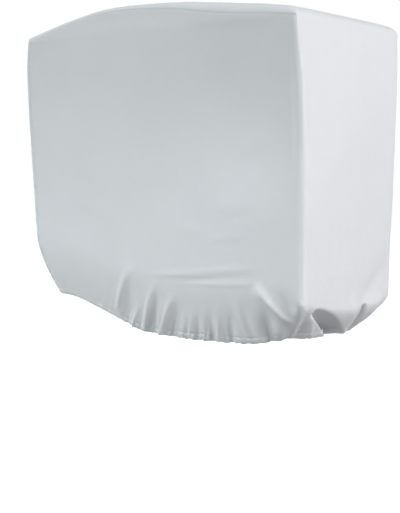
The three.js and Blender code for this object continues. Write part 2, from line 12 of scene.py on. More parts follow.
import bpy
import numpy as np
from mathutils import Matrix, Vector


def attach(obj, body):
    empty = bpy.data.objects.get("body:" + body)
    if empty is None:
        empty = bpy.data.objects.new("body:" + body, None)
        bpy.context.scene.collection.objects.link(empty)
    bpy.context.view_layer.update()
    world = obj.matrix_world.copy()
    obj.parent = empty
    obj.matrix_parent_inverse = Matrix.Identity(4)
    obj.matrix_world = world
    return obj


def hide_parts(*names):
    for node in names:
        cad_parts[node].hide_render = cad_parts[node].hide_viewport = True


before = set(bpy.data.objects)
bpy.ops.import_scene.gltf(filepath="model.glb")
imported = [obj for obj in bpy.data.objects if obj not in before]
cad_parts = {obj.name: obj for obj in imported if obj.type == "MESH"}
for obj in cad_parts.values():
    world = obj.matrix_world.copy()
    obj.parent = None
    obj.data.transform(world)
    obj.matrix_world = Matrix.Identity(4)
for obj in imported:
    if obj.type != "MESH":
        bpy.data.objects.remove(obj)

LOG = logging.getLogger("motor_cover")
Array = np.ndarray
MM = 0.001
EIGHTH_TURN = math.pi / 4
QUARTER_TURN = math.pi / 2


# ------------------------------------------------------------------ smooth curves and noise


def ease(t: Array) -> Array:
    """Smooth step from 0 to 1 as t goes from 0 to 1."""
    held = np.clip(t, 0.0, 1.0)
    return held * held * (3.0 - 2.0 * held)


def ramp(t: Array, soft: Array) -> Array:
    """0 at t = 0 and 1 at t = 1, level at the start; soft is the roundness of its bend."""
    return (np.hypot(t, soft) - soft) / (np.hypot(1.0, soft) - soft)


def unit(vectors: Array) -> Array:
    """Vectors of length 1 along the given ones."""
    return vectors / np.maximum(np.linalg.norm(vectors, axis=-1, keepdims=True), 1e-12)


HASH_CELL = 127.1
HASH_SEED = 311.7
HASH_SCALE = 43758.5453
ROW_SHIFT = 17.3
ROW_REPEAT = 64.0


def scattered(cell: Array, seed: float) -> Array:
    """Fixed pseudo-random number from 0 to 1 for each whole-numbered cell."""
    wave = np.sin(cell * HASH_CELL + seed * HASH_SEED) * HASH_SCALE
    return wave - np.floor(wave)


def wander(place: Array, seed: float) -> Array:
    """Smooth wandering curve from -1 to 1, with about one turn in each unit of place.

    Args:
        place: Places along the curve.
        seed: Number that sets this curve apart from others.

    Returns:
        The curve's value at each place.
    """
    cell = np.floor(place)
    blend = ease(place - cell)
    low = scattered(cell, seed)
    high = scattered(cell + 1.0, seed)
    return 2.0 * (low + (high - low) * blend) - 1.0


def rolling(u: Array, v: Array, seed: float) -> Array:
    """Smooth rolling ground from -1 to 1, with hills about one unit across.

    Args:
        u: Places across the ground.
        v: Places up it.
        seed: Number that sets this ground apart from others.

    Returns:
        The ground's height at each place.
    """
    cell = np.floor(v)
    blend = ease(v - cell)
    low = wander(u + ROW_SHIFT * np.mod(cell, ROW_REPEAT), seed)
    high = wander(u + ROW_SHIFT * np.mod(cell + 1.0, ROW_REPEAT), seed)
    return low + (high - low) * blend


@dataclass(frozen=True)
class Varied:
    """Value that wanders about its mean, by up to swing, with a turn in each pitch."""

    mean: float
    swing: float
    pitch: float

    def at(self, place: Array, seed: float) -> Array:
        """The value at each place."""
        return self.mean + self.swing * wander(place / self.pitch, seed)


# ------------------------------------------------------------------ tables


@dataclass(frozen=True)
class Table:
    """Short table whose columns are read smoothly at any place along its first one."""

    columns: tuple[str, ...]
    rows: tuple[tuple[float, ...], ...]

    def at(self, place: Array) -> dict[str, Array]:
        """Reads every column.

        Args:
            place: Places along the first column; past its ends the end rows hold.

        Returns:
            The values of each column, by its name.
        """
        values = np.array(self.rows, dtype=float)
        keys = values[:, 0]
        slopes = np.empty_like(values)
        slopes[1:-1] = (values[2:] - values[:-2]) / (keys[2:] - keys[:-2])[:, None]
        slopes[0] = (values[1] - values[0]) / (keys[1] - keys[0])
        slopes[-1] = (values[-1] - values[-2]) / (keys[-1] - keys[-2])
        held = np.clip(np.asarray(place, dtype=float), keys[0], keys[-1])
        low = np.clip(np.searchsorted(keys, held, side="right") - 1, 0, len(keys) - 2)
        span = keys[low + 1] - keys[low]
        t = (held - keys[low]) / span
        found = {}
        for number, name in enumerate(self.columns):
            column = values[:, number]
            slope = slopes[:, number]
            rise = column[low + 1] - column[low]
            leave = t * (1.0 - t) ** 2 * span * slope[low]
            arrive = t * t * (t - 1.0) * span * slope[low + 1]
            found[name] = column[low] + rise * ease(t) + leave + arrive
        return found


LINE_COLUMNS = ("from_along", "from_z", "to_along", "to_z")
FOLD_COLUMNS = (*LINE_COLUMNS, "rise", "width", "fade", "crisp", "skew")
SWELL_COLUMNS = ("along", "z", "reach", "tall", "rise")
CREASE_COLUMNS = (*LINE_COLUMNS, "rise", "width")
TUCK_COLUMNS = (*LINE_COLUMNS, "depth", "reach", "step", "fullness")
FOLD_TAIL = 0.45
FOLD_FOOT = 0.8
FOLD_SPREAD = 0.6
CREST_ROUNDING = 0.12
LIP_ROUNDING = 0.06
CREASE_BEND = 0.02
CREASE_WAVE = 3.0
CREASE_FADE = 0.35


def beside_line(line: dict[str, float], along: Array, z: Array) -> tuple[float, Array, Array]:
    """Places of a wall as seen from a line on it.

    Args:
        line: The line's two ends, by the names in LINE_COLUMNS.
        along: Places along the wall.
        z: Their heights.

    Returns:
        The line's length, the share of it passed at each place, and the distance to its right.
    """
    run_along = line["to_along"] - line["from_along"]
    run_z = line["to_z"] - line["from_z"]
    length = math.hypot(run_along, run_z)
    from_along = along - line["from_along"]
    from_z = z - line["from_z"]
    up = (from_along * run_along + from_z * run_z) / length**2
    off = (from_along * run_z - from_z * run_along) / length
    return length, up, off


@dataclass(frozen=True)
class Relief:
    """Folds, broad swells, fine creases and tucks of one wall.

    A fold climbs from its low point and dies out over the last part of its length, its fade. A
    crease fades at both ends. rise is a height out of the cloth, width a half-width, crisp the
    squareness of the crest, and skew above 1 makes the right-hand flank the steeper one. In a
    tuck the cloth slopes in from an arched lip to a straight line, then steps out again; reach
    is the way from that line to the lip, and step the way back out on its other side.
    """

    folds: tuple[tuple[float, ...], ...] = ()
    swells: tuple[tuple[float, ...], ...] = ()
    creases: tuple[tuple[float, ...], ...] = ()
    tucks: tuple[tuple[float, ...], ...] = ()

    def rise(self, along: Array, z: Array) -> Array:
        """Height of all folds, swells and creases at places of the wall.

        Args:
            along: Places along the wall.
            z: Their heights.

        Returns:
            Heights out of the cloth.
        """
        total = np.zeros(np.broadcast(along, z).shape)
        for row in self.folds:
            total += self._fold(dict(zip(FOLD_COLUMNS, row)), along, z)
        for row in self.swells:
            swell = dict(zip(SWELL_COLUMNS, row))
            sideways = (along - swell["along"]) / swell["reach"]
            upward = (z - swell["z"]) / swell["tall"]
            total += swell["rise"] * np.exp(-(sideways**2) - upward**2)
        for row in self.creases:
            total += self._crease(dict(zip(CREASE_COLUMNS, row)), along, z)
        for row in self.tucks:
            total -= self._tuck(dict(zip(TUCK_COLUMNS, row)), along, z)
        return total

    @staticmethod
    def _fold(fold: dict[str, float], along: Array, z: Array) -> Array:
        """Height of one fold.

        Args:
            fold: The fold's row, by the names in FOLD_COLUMNS.
            along: Places along the wall.
            z: Their heights.

        Returns:
            Heights out of the cloth.
        """
        _, up, off = beside_line(fold, along, z)
        spread = fold["width"] * (FOLD_FOOT + FOLD_SPREAD * np.clip(up, 0.0, 1.0))
        spread = np.where(off > 0.0, spread / fold["skew"], spread * fold["skew"])
        fading = ease((1.0 - up) / fold["fade"])
        starting = ease((up + FOLD_TAIL) / FOLD_TAIL)
        across = (np.hypot(off / spread, CREST_ROUNDING) - CREST_ROUNDING) ** fold["crisp"]
        return fold["rise"] * fading * starting * np.exp(-across)

    @staticmethod
    def _tuck(tuck: dict[str, float], along: Array, z: Array) -> Array:
        """Depth of one tuck.

        Args:
            tuck: The tuck's row, by the names in TUCK_COLUMNS.
            along: Places along the wall.
            z: Their heights.

        Returns:
            Depths into the cover.
        """
        _, up, off = beside_line(tuck, along, z)
        arch = np.sin(math.pi * np.clip(up, 0.0, 1.0)) ** tuck["fullness"]
        lip = np.maximum(tuck["reach"] * arch, 1.0)
        inside = np.where(off > 0.0, 1.0 - off / lip, 1.0 + off / tuck["step"])
        rounded = (np.hypot(inside, LIP_ROUNDING) + inside) / 2.0 - LIP_ROUNDING**2 / 4.0
        return tuck["depth"] * arch * np.clip(rounded, 0.0, None)

    @staticmethod
    def _crease(crease: dict[str, float], along: Array, z: Array) -> Array:
        """Height of one crease.

        Args:
            crease: The crease's row, by the names in CREASE_COLUMNS.
            along: Places along the wall.
            z: Their heights.

        Returns:
            Heights out of the cloth.
        """
        length, up, off = beside_line(crease, along, z)
        bent = off - CREASE_BEND * length * np.sin(CREASE_WAVE * up + crease["from_z"])
        window = ease(up / CREASE_FADE) * ease((1.0 - up) / CREASE_FADE)
        return crease["rise"] * window * np.exp(-((bent / crease["width"]) ** 2))


# ------------------------------------------------------------------ the cover's sizes


@dataclass(frozen=True)
class CoverSizes:
    """Main sizes of the cover, in millimetres."""

    edge_radius: float = 20.0
    hem_front_radius: float = 50.0
    hem_back_radius: float = 92.0
    top_crown: float = 8.0
    front_crown_reach: float = 60.0
    back_crown_reach: float = 220.0
    turn_reach: float = 26.0
    back_top_wrap: float = 3.5
    upright_ease: float = 32.0
    top_ease: float = 37.0
    back_top_ease: float = 22.0
    seam_level: float = 712.0
    wall_fold_top: float = 690.0
    wall_fold_fade: float = 60.0
    hem_front: float = -363.0
    hem_back: float = 352.0
    hem_port: float = -172.0
    hem_starboard: float = 152.0
    seam_gap: float = 0.3
    cloth: float = 1.2
    hem_roll: float = 2.0
    hem_roll_reach: float = 25.0
    casing: float = 13.0


WALLS = Table(
    ("z", "front", "back", "port", "starboard", "corner"),
    (
        (90, -389, 398, -206, 197, 14),
        (200, -392, 400, -206, 203, 16),
        (320, -399, 402, -208, 214, 17),
        (430, -405, 404, -212, 221, 18),
        (560, -408, 405, -220, 229, 17),
        (650, -405, 402, -228, 237, 13),
        (712, -397, 397, -233, 242, 9),
    ),
)
RIDGE = Table(
    ("x", "z", "edge"),
    (
        (-396, 719, 14),
        (-320, 736, 10),
        (-247, 751, 8),
        (-205, 758.5, 8),
        (-160, 765.5, 8),
        (-118, 769, 8),
        (-65, 770, 8.5),
        (0, 768, 10),
        (62, 765, 13),
        (114, 760.5, 16),
        (169, 753.5, 19),
        (231, 746, 20),
        (310, 738.5, 20),
        (396, 728.5, 20),
    ),
)
TURN_COLUMNS = ("share", "hem", "turn", "soft")
PORT_TURN = Table(
    TURN_COLUMNS,
    (
        (0, 84, 240, 0.8),
        (0.1, 78, 225, 0.7),
        (0.2, 58, 205, 0.6),
        (0.3, 35, 180, 0.5),
        (0.38, 14, 166, 0.55),
        (0.45, 6, 159, 0.6),
        (0.6, 0, 154, 0.65),
        (0.75, 0, 154, 0.65),
        (0.86, 2, 150, 0.6),
        (0.94, 9, 125, 0.3),
        (1, 17, 105, 0.35),
    ),
)
STARBOARD_TURN = Table(
    TURN_COLUMNS,
    (
        (0, 84, 235, 0.8),
        (0.15, 68, 215, 0.65),
        (0.3, 34, 182, 0.5),
        (0.45, 8, 160, 0.3),
        (0.65, 1, 150, 0.2),
        (0.85, 4, 138, 0.25),
        (1, 12, 98, 0.3),
    ),
)
BACK_TURN = Table(
    TURN_COLUMNS,
    (
        (0, 17, 105, 0.35),
        (0.15, 15, 92, 0.3),
        (0.35, 13, 82, 0.3),
        (0.6, 11, 78, 0.3),
        (0.85, 11, 84, 0.3),
        (1, 12, 98, 0.3),
    ),
)
FRONT_TURN = Table(
    TURN_COLUMNS,
    ((0, 84, 240, 0.8), (0.5, 86, 232, 0.8), (1, 84, 235, 0.8)),
)

# How far the hem's ripples lean along the wall for each millimetre that they climb, and how full
# they are.
RIPPLE_COLUMNS = ("along", "lean", "full")
PORT_RIPPLES = Table(
    RIPPLE_COLUMNS,
    (
        (-360, 0.1, 0.2),
        (-200, 0.4, 0.3),
        (-110, 0.5, 0.8),
        (-60, 0.55, 1),
        (60, 0.45, 1.1),
        (160, 0.15, 1.1),
        (250, -0.2, 1.1),
        (345, -0.6, 0.8),
    ),
)
STARBOARD_RIPPLES = Table(
    RIPPLE_COLUMNS,
    (
        (-360, 0.1, 0.3),
        (-150, 0.35, 0.7),
        (0, 0.2, 1),
        (120, 0, 1),
        (220, -0.2, 1),
        (345, -0.35, 0.8),
    ),
)
BACK_RIPPLES = Table(
    RIPPLE_COLUMNS,
    ((-170, 0.1, 0.7), (-90, -0.3, 0.8), (0, -0.2, 0.8), (70, 0.3, 0.8), (150, 0.3, 0.8)),
)
FRONT_RIPPLES = Table(RIPPLE_COLUMNS, ((-170, -0.2, 0.4), (0, 0, 0.6), (150, 0.2, 0.4)))

PORT_RELIEF = Relief(
    folds=(
        (-120, 82, -62, 182, 6, 9, 0.6, 1.6, 1.2),
        (-110, 36, -56, 140, -5, 12, 0.9, 1.7, 0.9),
        (-84, 34, -40, 92, 3, 8, 0.8, 1.5, 1),
        (-50, 22, 8, 146, 8, 8, 0.6, 1.5, 1.3),
        (-30, 16, 6, 112, -6, 9, 0.9, 1.6, 1),
        (-14, 12, 14, 90, 4, 7, 0.7, 1.5, 1.1),
        (2, 18, 60, 120, 8, 8, 0.7, 1.5, 1.3),
        (26, 10, 72, 104, -5, 9, 0.9, 1.6, 0.9),
        (58, 6, 84, 74, 3, 8, 0.9, 1.5, 1.1),
        (84, 4, 110, 102, 4, 9, 0.9, 1.5, 1.1),
        (102, 4, 118, 70, -3, 8, 0.9, 1.6, 1),
        (120, 4, 132, 90, 4, 8, 0.9, 1.5, 1.1),
        (143, 0, 148, 96, -4, 10, 1, 1.6, 1),
        (164, 0, 170, 98, 5, 9, 0.9, 1.5, 1.1),
        (192, 0, 212, 92, -5, 11, 0.9, 1.6, 0.9),
        (222, 6, 206, 64, 3, 8, 0.9, 1.5, 1),
        (244, 20, 214, 118, 5, 9, 0.7, 1.5, 1.2),
        (272, 8, 254, 80, 4, 9, 0.8, 1.5, 1.1),
        (290, 6, 304, 106, -11, 13, 0.7, 1.7, 0.9),
        (382, 36, 272, 142, 14, 8, 0.25, 1.6, 1.4),
        (384, 74, 318, 138, -6, 11, 0.6, 1.7, 1),
        (316, -8, 330, 62, 8, 12, 0.7, 1.6, 0.8),
    ),
    swells=(
        (250, 500, 150, 150, -12),
        (266, 300, 100, 80, 5),
        (20, 420, 110, 190, -3),
        (-190, 430, 150, 200, 4),
    ),
    creases=(
        (-40, 152, 318, 168, 2.6, 6),
        (50, 140, 310, 150, -1.6, 5),
        (84, 132, 306, 142, 1.1, 5),
        (150, 222, 256, 226, -1.4, 6),
        (136, 232, 250, 236, 1.2, 6),
        (60, 254, 176, 248, 1.0, 9),
        (150, 296, 262, 330, 1.0, 12),
        (170, 272, 300, 292, -0.9, 11),
        (210, 420, 330, 470, 1.2, 20),
        (20, 640, 130, 662, -0.9, 16),
        (-260, 330, -120, 262, 0.9, 18),
    ),
)
STARBOARD_RELIEF = Relief(
    folds=(
        (-150, 56, -104, 178, 4, 14, 0.8, 1.6, 1),
        (-108, 30, -66, 158, -5, 14, 0.9, 1.7, 1),
        (-60, 10, -26, 140, 5, 13, 0.8, 1.5, 1),
        (-18, 4, 10, 118, -6, 13, 0.9, 1.6, 1),
        (28, 2, 52, 130, 5, 12, 0.8, 1.5, 1),
        (74, 0, 84, 108, -4, 13, 1, 1.6, 1),
        (116, 0, 118, 122, 5, 12, 0.9, 1.5, 1),
        (158, 0, 150, 112, -6, 14, 0.8, 1.6, 1),
        (204, 2, 188, 126, 6, 13, 0.7, 1.5, 1),
        (246, 4, 224, 104, -5, 14, 0.9, 1.6, 1),
        (292, 8, 252, 122, 7, 13, 0.6, 1.5, 1),
        (334, 16, 302, 106, -6, 13, 0.9, 1.7, 1),
    ),
    swells=(
        (180, 520, 150, 140, -5),
        (-120, 430, 190, 180, 4),
        (120, 250, 150, 70, 3),
    ),
    creases=(
        (40, 236, 170, 246, 1.1, 9),
        (20, 196, 180, 186, -1.0, 9),
        (160, 300, 280, 332, 0.9, 10),
        (-250, 320, -110, 270, 0.9, 16),
    ),
)
BACK_RELIEF = Relief(
    folds=(
        (-112, 30, -172, 84, 6, 8, 0.5, 1.5, 1.4),
        (-128, 8, -186, 92, -12, 9, 0.4, 1.8, 0.9),
        (44, 8, 2, 112, 6, 14, 0.5, 1.6, 1),
        (128, 40, 140, 112, 4, 12, 0.6, 1.6, 1),
        (84, 112, 200, 178, -3, 20, 0.5, 1.8, 1),
    ),
    swells=((-20, 430, 110, 220, 4), (90, 620, 70, 60, -2)),
    creases=((-120, 150, 20, 170, 0.9, 12), (40, 300, 150, 330, 0.8, 16)),
    tucks=((76, -24, -152, 84, 46, 24, 13, 0.5), (88, -44, 72, 80, 44, 16, 18, 0.5)),
)
FRONT_RELIEF = Relief(
    folds=(
        (-104, 86, -120, 196, 3, 14, 1, 1.6, 1),
        (-58, 86, -66, 180, -4, 14, 1, 1.6, 1),
        (-6, 86, -2, 204, 4, 15, 0.9, 1.6, 1),
        (46, 86, 58, 184, -4, 14, 1, 1.6, 1),
        (100, 86, 118, 200, 3, 14, 1, 1.6, 1),
    ),
    swells=((20, 430, 120, 200, 4),),
    creases=((-130, 300, 20, 270, 0.9, 14), (20, 560, 150, 600, 0.8, 16)),
)


class Wall(Enum):
    """The four upright walls of the cover."""

    PORT = "port"
    STARBOARD = "starboard"
    FRONT = "front"
    BACK = "back"


@dataclass(frozen=True)
class WallForm:
    """What one wall is shaped by; sign is the way that it looks along its own axis."""

    wall: Wall
    sign: float
    turns: Table
    relief: Relief
    ripples: Table
    seed: float
    back_rise: float = 0.0


PORT = WallForm(Wall.PORT, -1.0, PORT_TURN, PORT_RELIEF, PORT_RIPPLES, 3.0)
STARBOARD = WallForm(
    Wall.STARBOARD, 1.0, STARBOARD_TURN, STARBOARD_RELIEF, STARBOARD_RIPPLES, 11.0, back_rise=9.0
)
FRONT = WallForm(Wall.FRONT, -1.0, FRONT_TURN, FRONT_RELIEF, FRONT_RIPPLES, 23.0)
BACK = WallForm(Wall.BACK, 1.0, BACK_TURN, BACK_RELIEF, BACK_RIPPLES, 31.0)


def plan_curve(
    share: Array,
    start: Array,
    end: Array,
    start_corner: tuple[Array, float],
    end_corner: tuple[Array, float],
) -> tuple[Array, Array]:
    """Plan curve of an arc, a straight and an arc, read at shares of its length.

    Args:
        share: Shares of the way from the start to the end.
        start: Place of the start side's tangent along the wall.
        end: Place of the end side's tangent along the wall.
        start_corner: Radius and angle of the first arc.
        end_corner: Radius and angle of the last arc.

    Returns:
        The place along the wall, and the depth behind its plane.
    """
    start_radius, start_angle = start_corner
    end_radius, end_angle = end_corner
    start_arc = start_radius * start_angle
    end_arc = end_radius * end_angle
    straight = end - end_radius - (start + start_radius)
    gone = share * (start_arc + straight + end_arc)
    first = start_angle - gone / np.maximum(start_radius, 1e-9)
    final = (gone - start_arc - straight) / np.maximum(end_radius, 1e-9)
    along = np.where(
        gone < start_arc,
        start + start_radius - start_radius * np.sin(first),
        np.where(
            final <= 0.0,
            start + start_radius + gone - start_arc,
            end - end_radius + end_radius * np.sin(final),
        ),
    )
    depth = np.where(
        gone < start_arc,
        start_radius - start_radius * np.cos(first),
        np.where(final <= 0.0, 0.0, end_radius - end_radius * np.cos(final)),
    )
    return along, depth


@dataclass
class CoverForm:
    """The cover's smooth surface, before its folds."""

    sizes: CoverSizes = field(default_factory=CoverSizes)

    def turned_in(self, turn: dict[str, Array], z: Array) -> Array:
        """Share of the way from wall to hem that the cloth has turned in at height z."""
        low = np.clip((turn["turn"] - z) / (turn["turn"] - turn["hem"]), 0.0, 1.0)
        return ramp(low, turn["soft"])

    def hem_curve(
        self, share: Array, ends: tuple[float, float], radii: tuple[float, float]
    ) -> tuple[Array, Array]:
        """Plan of the hem along one wall, between the middles of its two corners.

        Args:
            share: Shares of the way from the wall's start to its end.
            ends: Places of the hem's two ends along the wall.
            radii: Radii of its two corners.

        Returns:
            The place along the wall, and the depth behind its plane.
        """
        start, end = (np.full(share.shape, place) for place in ends)
        first, last = ((radius, EIGHTH_TURN) for radius in radii)
        return plan_curve(share, start, end, first, last)

    def side_wall_curve(self, share: Array, wall: dict[str, Array]) -> tuple[Array, Array]:
        """Plan of a side between its seams at one height.

        Args:
            share: Shares of the way from the front seam to the back seam.
            wall: What WALLS gives at each height.

        Returns:
            The place along the side, and the depth behind its plane.
        """
        sizes = self.sizes
        return plan_curve(
            share,
            wall["front"],
            wall["back"],
            (sizes.edge_radius, 0.0),
            (wall["corner"], EIGHTH_TURN),
        )

    def top_seam(self, side: WallForm, share: Array) -> Array:
        """Height of a side's top seam at a share of its length.

        Args:
            side: The port or starboard wall.
            share: Shares of the way from the front seam to the back seam.

        Returns:
            Heights of the seam.
        """
        wall = WALLS.at(np.full(np.shape(share), self.sizes.seam_level))
        x = self.side_wall_curve(share, wall)[0]
        top = RIDGE.at(x)
        return top["z"] - top["edge"] + side.back_rise * share**2

    def side_point(self, side: WallForm, share: Array, rise: Array) -> Array:
        """Points of a side panel.

        Args:
            side: The port or starboard wall.
            share: Shares of the way from the front seam to the back seam.
            rise: Shares of the way from the hem to the top seam.

        Returns:
            One point for each share and rise.
        """
        sizes = self.sizes
        share, rise = np.broadcast_arrays(share, rise)
        turn = side.turns.at(share)
        z = turn["hem"] + (self.top_seam(side, share) - turn["hem"]) * rise
        wall = WALLS.at(z)
        above_x, above_depth = self.side_wall_curve(share, wall)
        hem_ends = (sizes.hem_front, sizes.hem_back)
        hem_radii = (sizes.hem_front_radius, sizes.hem_back_radius)
        hem_x, hem_depth = self.hem_curve(share, hem_ends, hem_radii)
        inward = self.turned_in(turn, z)
        hem_wall = sizes.hem_port if side.wall is Wall.PORT else sizes.hem_starboard
        above_y = wall[side.wall.value] - side.sign * above_depth
        hem_y = hem_wall - side.sign * hem_depth
        x = above_x + (hem_x - above_x) * inward
        y = above_y + (hem_y - above_y) * inward
        return np.stack([x, y, z], axis=-1)

    def end_point(self, end: WallForm, share: Array, rise: float) -> Array:
        """Points across the strip's front or back wall, from the port seam to the starboard one.

        Args:
            end: The front or back wall.
            share: Shares of the way across.
            rise: Share of the way from the hem to the top seam.

        Returns:
            One point for each share.
        """
        sizes = self.sizes
        at_front = end.wall is Wall.FRONT
        seam_share = np.array(0.0 if at_front else 1.0)
        turn = end.turns.at(share)
        port_top = self.top_seam(PORT, seam_share)
        starboard_top = self.top_seam(STARBOARD, seam_share)
        top = port_top + (starboard_top - port_top) * share
        z = turn["hem"] + (top - turn["hem"]) * rise
        wall = WALLS.at(z)
        corner = (sizes.edge_radius, QUARTER_TURN) if at_front else (wall["corner"], EIGHTH_TURN)
        hem_radius = sizes.hem_front_radius if at_front else sizes.hem_back_radius
        above_y, above_depth = plan_curve(share, wall["port"], wall["starboard"], corner, corner)
        hem_ends = (sizes.hem_port, sizes.hem_starboard)
        hem_y, hem_depth = self.hem_curve(share, hem_ends, (hem_radius, hem_radius))
        inward = self.turned_in(turn, z)
        hem_wall = sizes.hem_front if at_front else sizes.hem_back
        above_x = wall[end.wall.value] - end.sign * above_depth
        hem_x = hem_wall - end.sign * hem_depth
        x = above_x + (hem_x - above_x) * inward
        y = above_y + (hem_y - above_y) * inward
        return np.stack([x, y, z], axis=-1)

    def over_top(
        self, port: Array, starboard: Array, outward: Array, depth: float, crown: float, share: Array
    ) -> Array:
        """Points across the strip between two seam points.

        Args:
            port: Point of the port seam.
            starboard: Point of the starboard seam.
            outward: The way that the strip's face looks.
            depth: How far the face stands above the seams.
            crown: Rise of the middle.
            share: Shares of the way across.

        Returns:
            One point for each share.
        """
        across = starboard - port
        width = float(np.linalg.norm(across))
        corner = (depth, QUARTER_TURN)
        along, sunk = plan_curve(share, np.array(0.0), np.array(width), corner, corner)
        lift = depth - sunk + crown * (1.0 - (2.0 * share - 1.0) ** 4)
        return port + (across / width) * along[:, None] + outward * lift[:, None]


# ------------------------------------------------------------------ cloth surfaces

# Heights above the hem that mark the strip's stations on the top, and the limit that tells them
# from those on a wall.
TOP_MARK = 900.0
WALL_LIMIT = 800.0

# Share of the hem's gathers that is left beside a seam.
SEAM_SIDE_GATHER = 0.35


def grid_normals(points: Array) -> Array:
    """Unit normals of a grid of points, by differences between neighbours.

    Args:
        points: Rows of points.

    Returns:
        One unit vector for each point.
    """
    wide = np.concatenate([points[:, :1], points, points[:, -1:]], axis=1)
    tall = np.concatenate([points[:1], points, points[-1:]], axis=0)
    return unit(np.cross(wide[:, 2:] - wide[:, :-2], tall[2:] - tall[:-2]))


def levelled(normals: Array) -> Array:
    """The level part of each normal."""
    return unit(normals * np.array([1.0, 1.0, 0.0]))


@dataclass(frozen=True)
class HemGather:
    """Small ripples that the elastic draws in the hem and in the cloth above it."""

    stitch_ripple: float = 1.7
    stitch_pitch: float = 13.0
    long_ripple: float = 1.7
    long_pitch: float = 27.0
    casing_bulge: float = 0.7
    stitch_fade: float = 11.0
    long_phase: float = 1.3
    long_fall: float = 1.5
    casing_fullness: float = 0.7
    stitch_dip: float = 2.2
    dip_width: float = 2.1
    scallop: float = 1.7
    scallop_phase: float = 0.4
    scallop_fade: float = 12.0
    foot_shift: Varied = Varied(0.0, 6.0, 37.0)
    foot_jitter: Varied = Varied(0.0, 3.0, 15.0)
    strength: Varied = Varied(0.55, 0.45, 52.0)
    long_reach: Varied = Varied(26.0, 18.0, 41.0)
    patches: Varied = Varied(0.35, 0.9, 11.0)
    line_shift: Varied = Varied(0.0, 1.5, 33.0)
    scallop_strength: Varied = Varied(0.6, 0.4, 44.0)

    def foot(self, wall: WallForm, along: Array, height: Array) -> Array:
        """Place along the hem from which the ripple at each point climbs.

        Args:
            wall: The wall that the cloth belongs to.
            along: Places along the wall.
            height: Heights above the hem's edge.

        Returns:
            Places along the hem.
        """
        lean = wall.ripples.at(along)["lean"]
        foot = along - lean * height
        return foot + self.foot_shift.at(foot, wall.seed) + self.foot_jitter.at(foot, wall.seed + 1)

    def rise(self, wall: WallForm, along: Array, height: Array, casing: float) -> Array:
        """Height of the hem's ripples and casing.

        Args:
            wall: The wall that the cloth belongs to.
            along: Places along the wall.
            height: Heights above the hem's edge.
            casing: Height of the hem's stitch line.

        Returns:
            Heights out of the cloth.
        """
        seed = wall.seed
        above = np.maximum(height - casing, 0.0)
        foot = self.foot(wall, along, height)
        full = wall.ripples.at(along)["full"]
        strength = full * self.strength.at(foot, seed + 2.0)
        short = np.cos(2.0 * math.pi * foot / self.stitch_pitch)
        tall = np.cos(2.0 * math.pi * foot / self.long_pitch + self.long_phase)
        reach = self.long_reach.at(foot, seed + 3.0)
        ripple = self.stitch_ripple * strength * short * np.exp(-above / self.stitch_fade)
        ripple += self.long_ripple * strength * tall * np.exp(-((above / reach) ** self.long_fall))
        arch = np.sin(math.pi * np.clip(height / casing, 0.0, 1.0))
        bulge = self.casing_bulge * arch**self.casing_fullness
        patchy = full * np.clip(self.patches.at(foot, seed + 4.0), 0.0, 1.0)
        line = casing + self.line_shift.at(foot, seed + 5.0)
        dip = self.stitch_dip * patchy * np.exp(-(((height - line) / self.dip_width) ** 2))
        return ripple + bulge - dip

    def lift(self, wall: WallForm, along: Array, height: Array) -> Array:
        """Height by which the gathers scallop the hem's lower edge.

        Args:
            wall: The wall that the cloth belongs to.
            along: Places along the wall.
            height: Heights above the hem's edge.

        Returns:
            Heights by which the edge is raised.
        """
        foot = self.foot(wall, along, height)
        full = wall.ripples.at(along)["full"]
        strength = full * self.scallop_strength.at(foot, wall.seed + 6.0)
        wave = np.cos(2.0 * math.pi * foot / self.long_pitch + self.scallop_phase)
        return self.scallop * strength * wave * np.exp(-height / self.scallop_fade)


@dataclass(frozen=True)
class SeamFinish:
    """Rolled edge of a sewn seam, with its slight puckers."""

    roll: float = 1.5
    roll_reach: float = 2.6
    ridge: float = 0.4
    ridge_place: float = 7.0
    ridge_width: float = 4.0
    pucker: float = 0.55
    pucker_place: float = 9.0
    pucker_reach: float = 12.0
    at_top: float = 0.3
    at_front: float = 0.6
    at_back: float = 0.05
    pucker_pitch: float = 23.0
    pucker_warp: Varied = Varied(0.0, 0.6, 47.0)
    pucker_strength: Varied = Varied(0.5, 0.5, 83.0)
    allowances: tuple[float, float] = (2.5, 9.0)
    near: tuple[float, ...] = (0.0, 0.8, 2.0, 4.0, 7.0, 10.5, 14.5, 19.0, 24.0, 29.0)

    def rise(self, distance: Array, run: Array, seed: float, share: Array | float) -> Array:
        """Height of the cloth near a seam.

        Args:
            distance: Distances from the seam.
            run: Places along the seam.
            seed: Number that sets its puckers apart from other seams'.
            share: How strongly the seam shows, 1 for a full roll.

        Returns:
            Heights out of the cloth, less than 0 where it dips.
        """
        rolled = -self.roll * np.exp(-distance / self.roll_reach)
        ridge = self.ridge * np.exp(-(((distance - self.ridge_place) / self.ridge_width) ** 2))
        warped = run / self.pucker_pitch + self.pucker_warp.at(run, seed)
        strength = self.pucker_strength.at(run, seed + 5.0)
        reach = np.exp(-(((distance - self.pucker_place) / self.pucker_reach) ** 2))
        pucker = self.pucker * strength * np.cos(2.0 * math.pi * warped) * reach
        return (rolled + ridge + pucker) * share


@dataclass
class ClothGrid:
    """Outer face of one panel as a grid, with what its material needs at each point."""

    points: Array
    cloth: Array
    seam: Array
    run: Array
    hem: Array
    flipped: bool


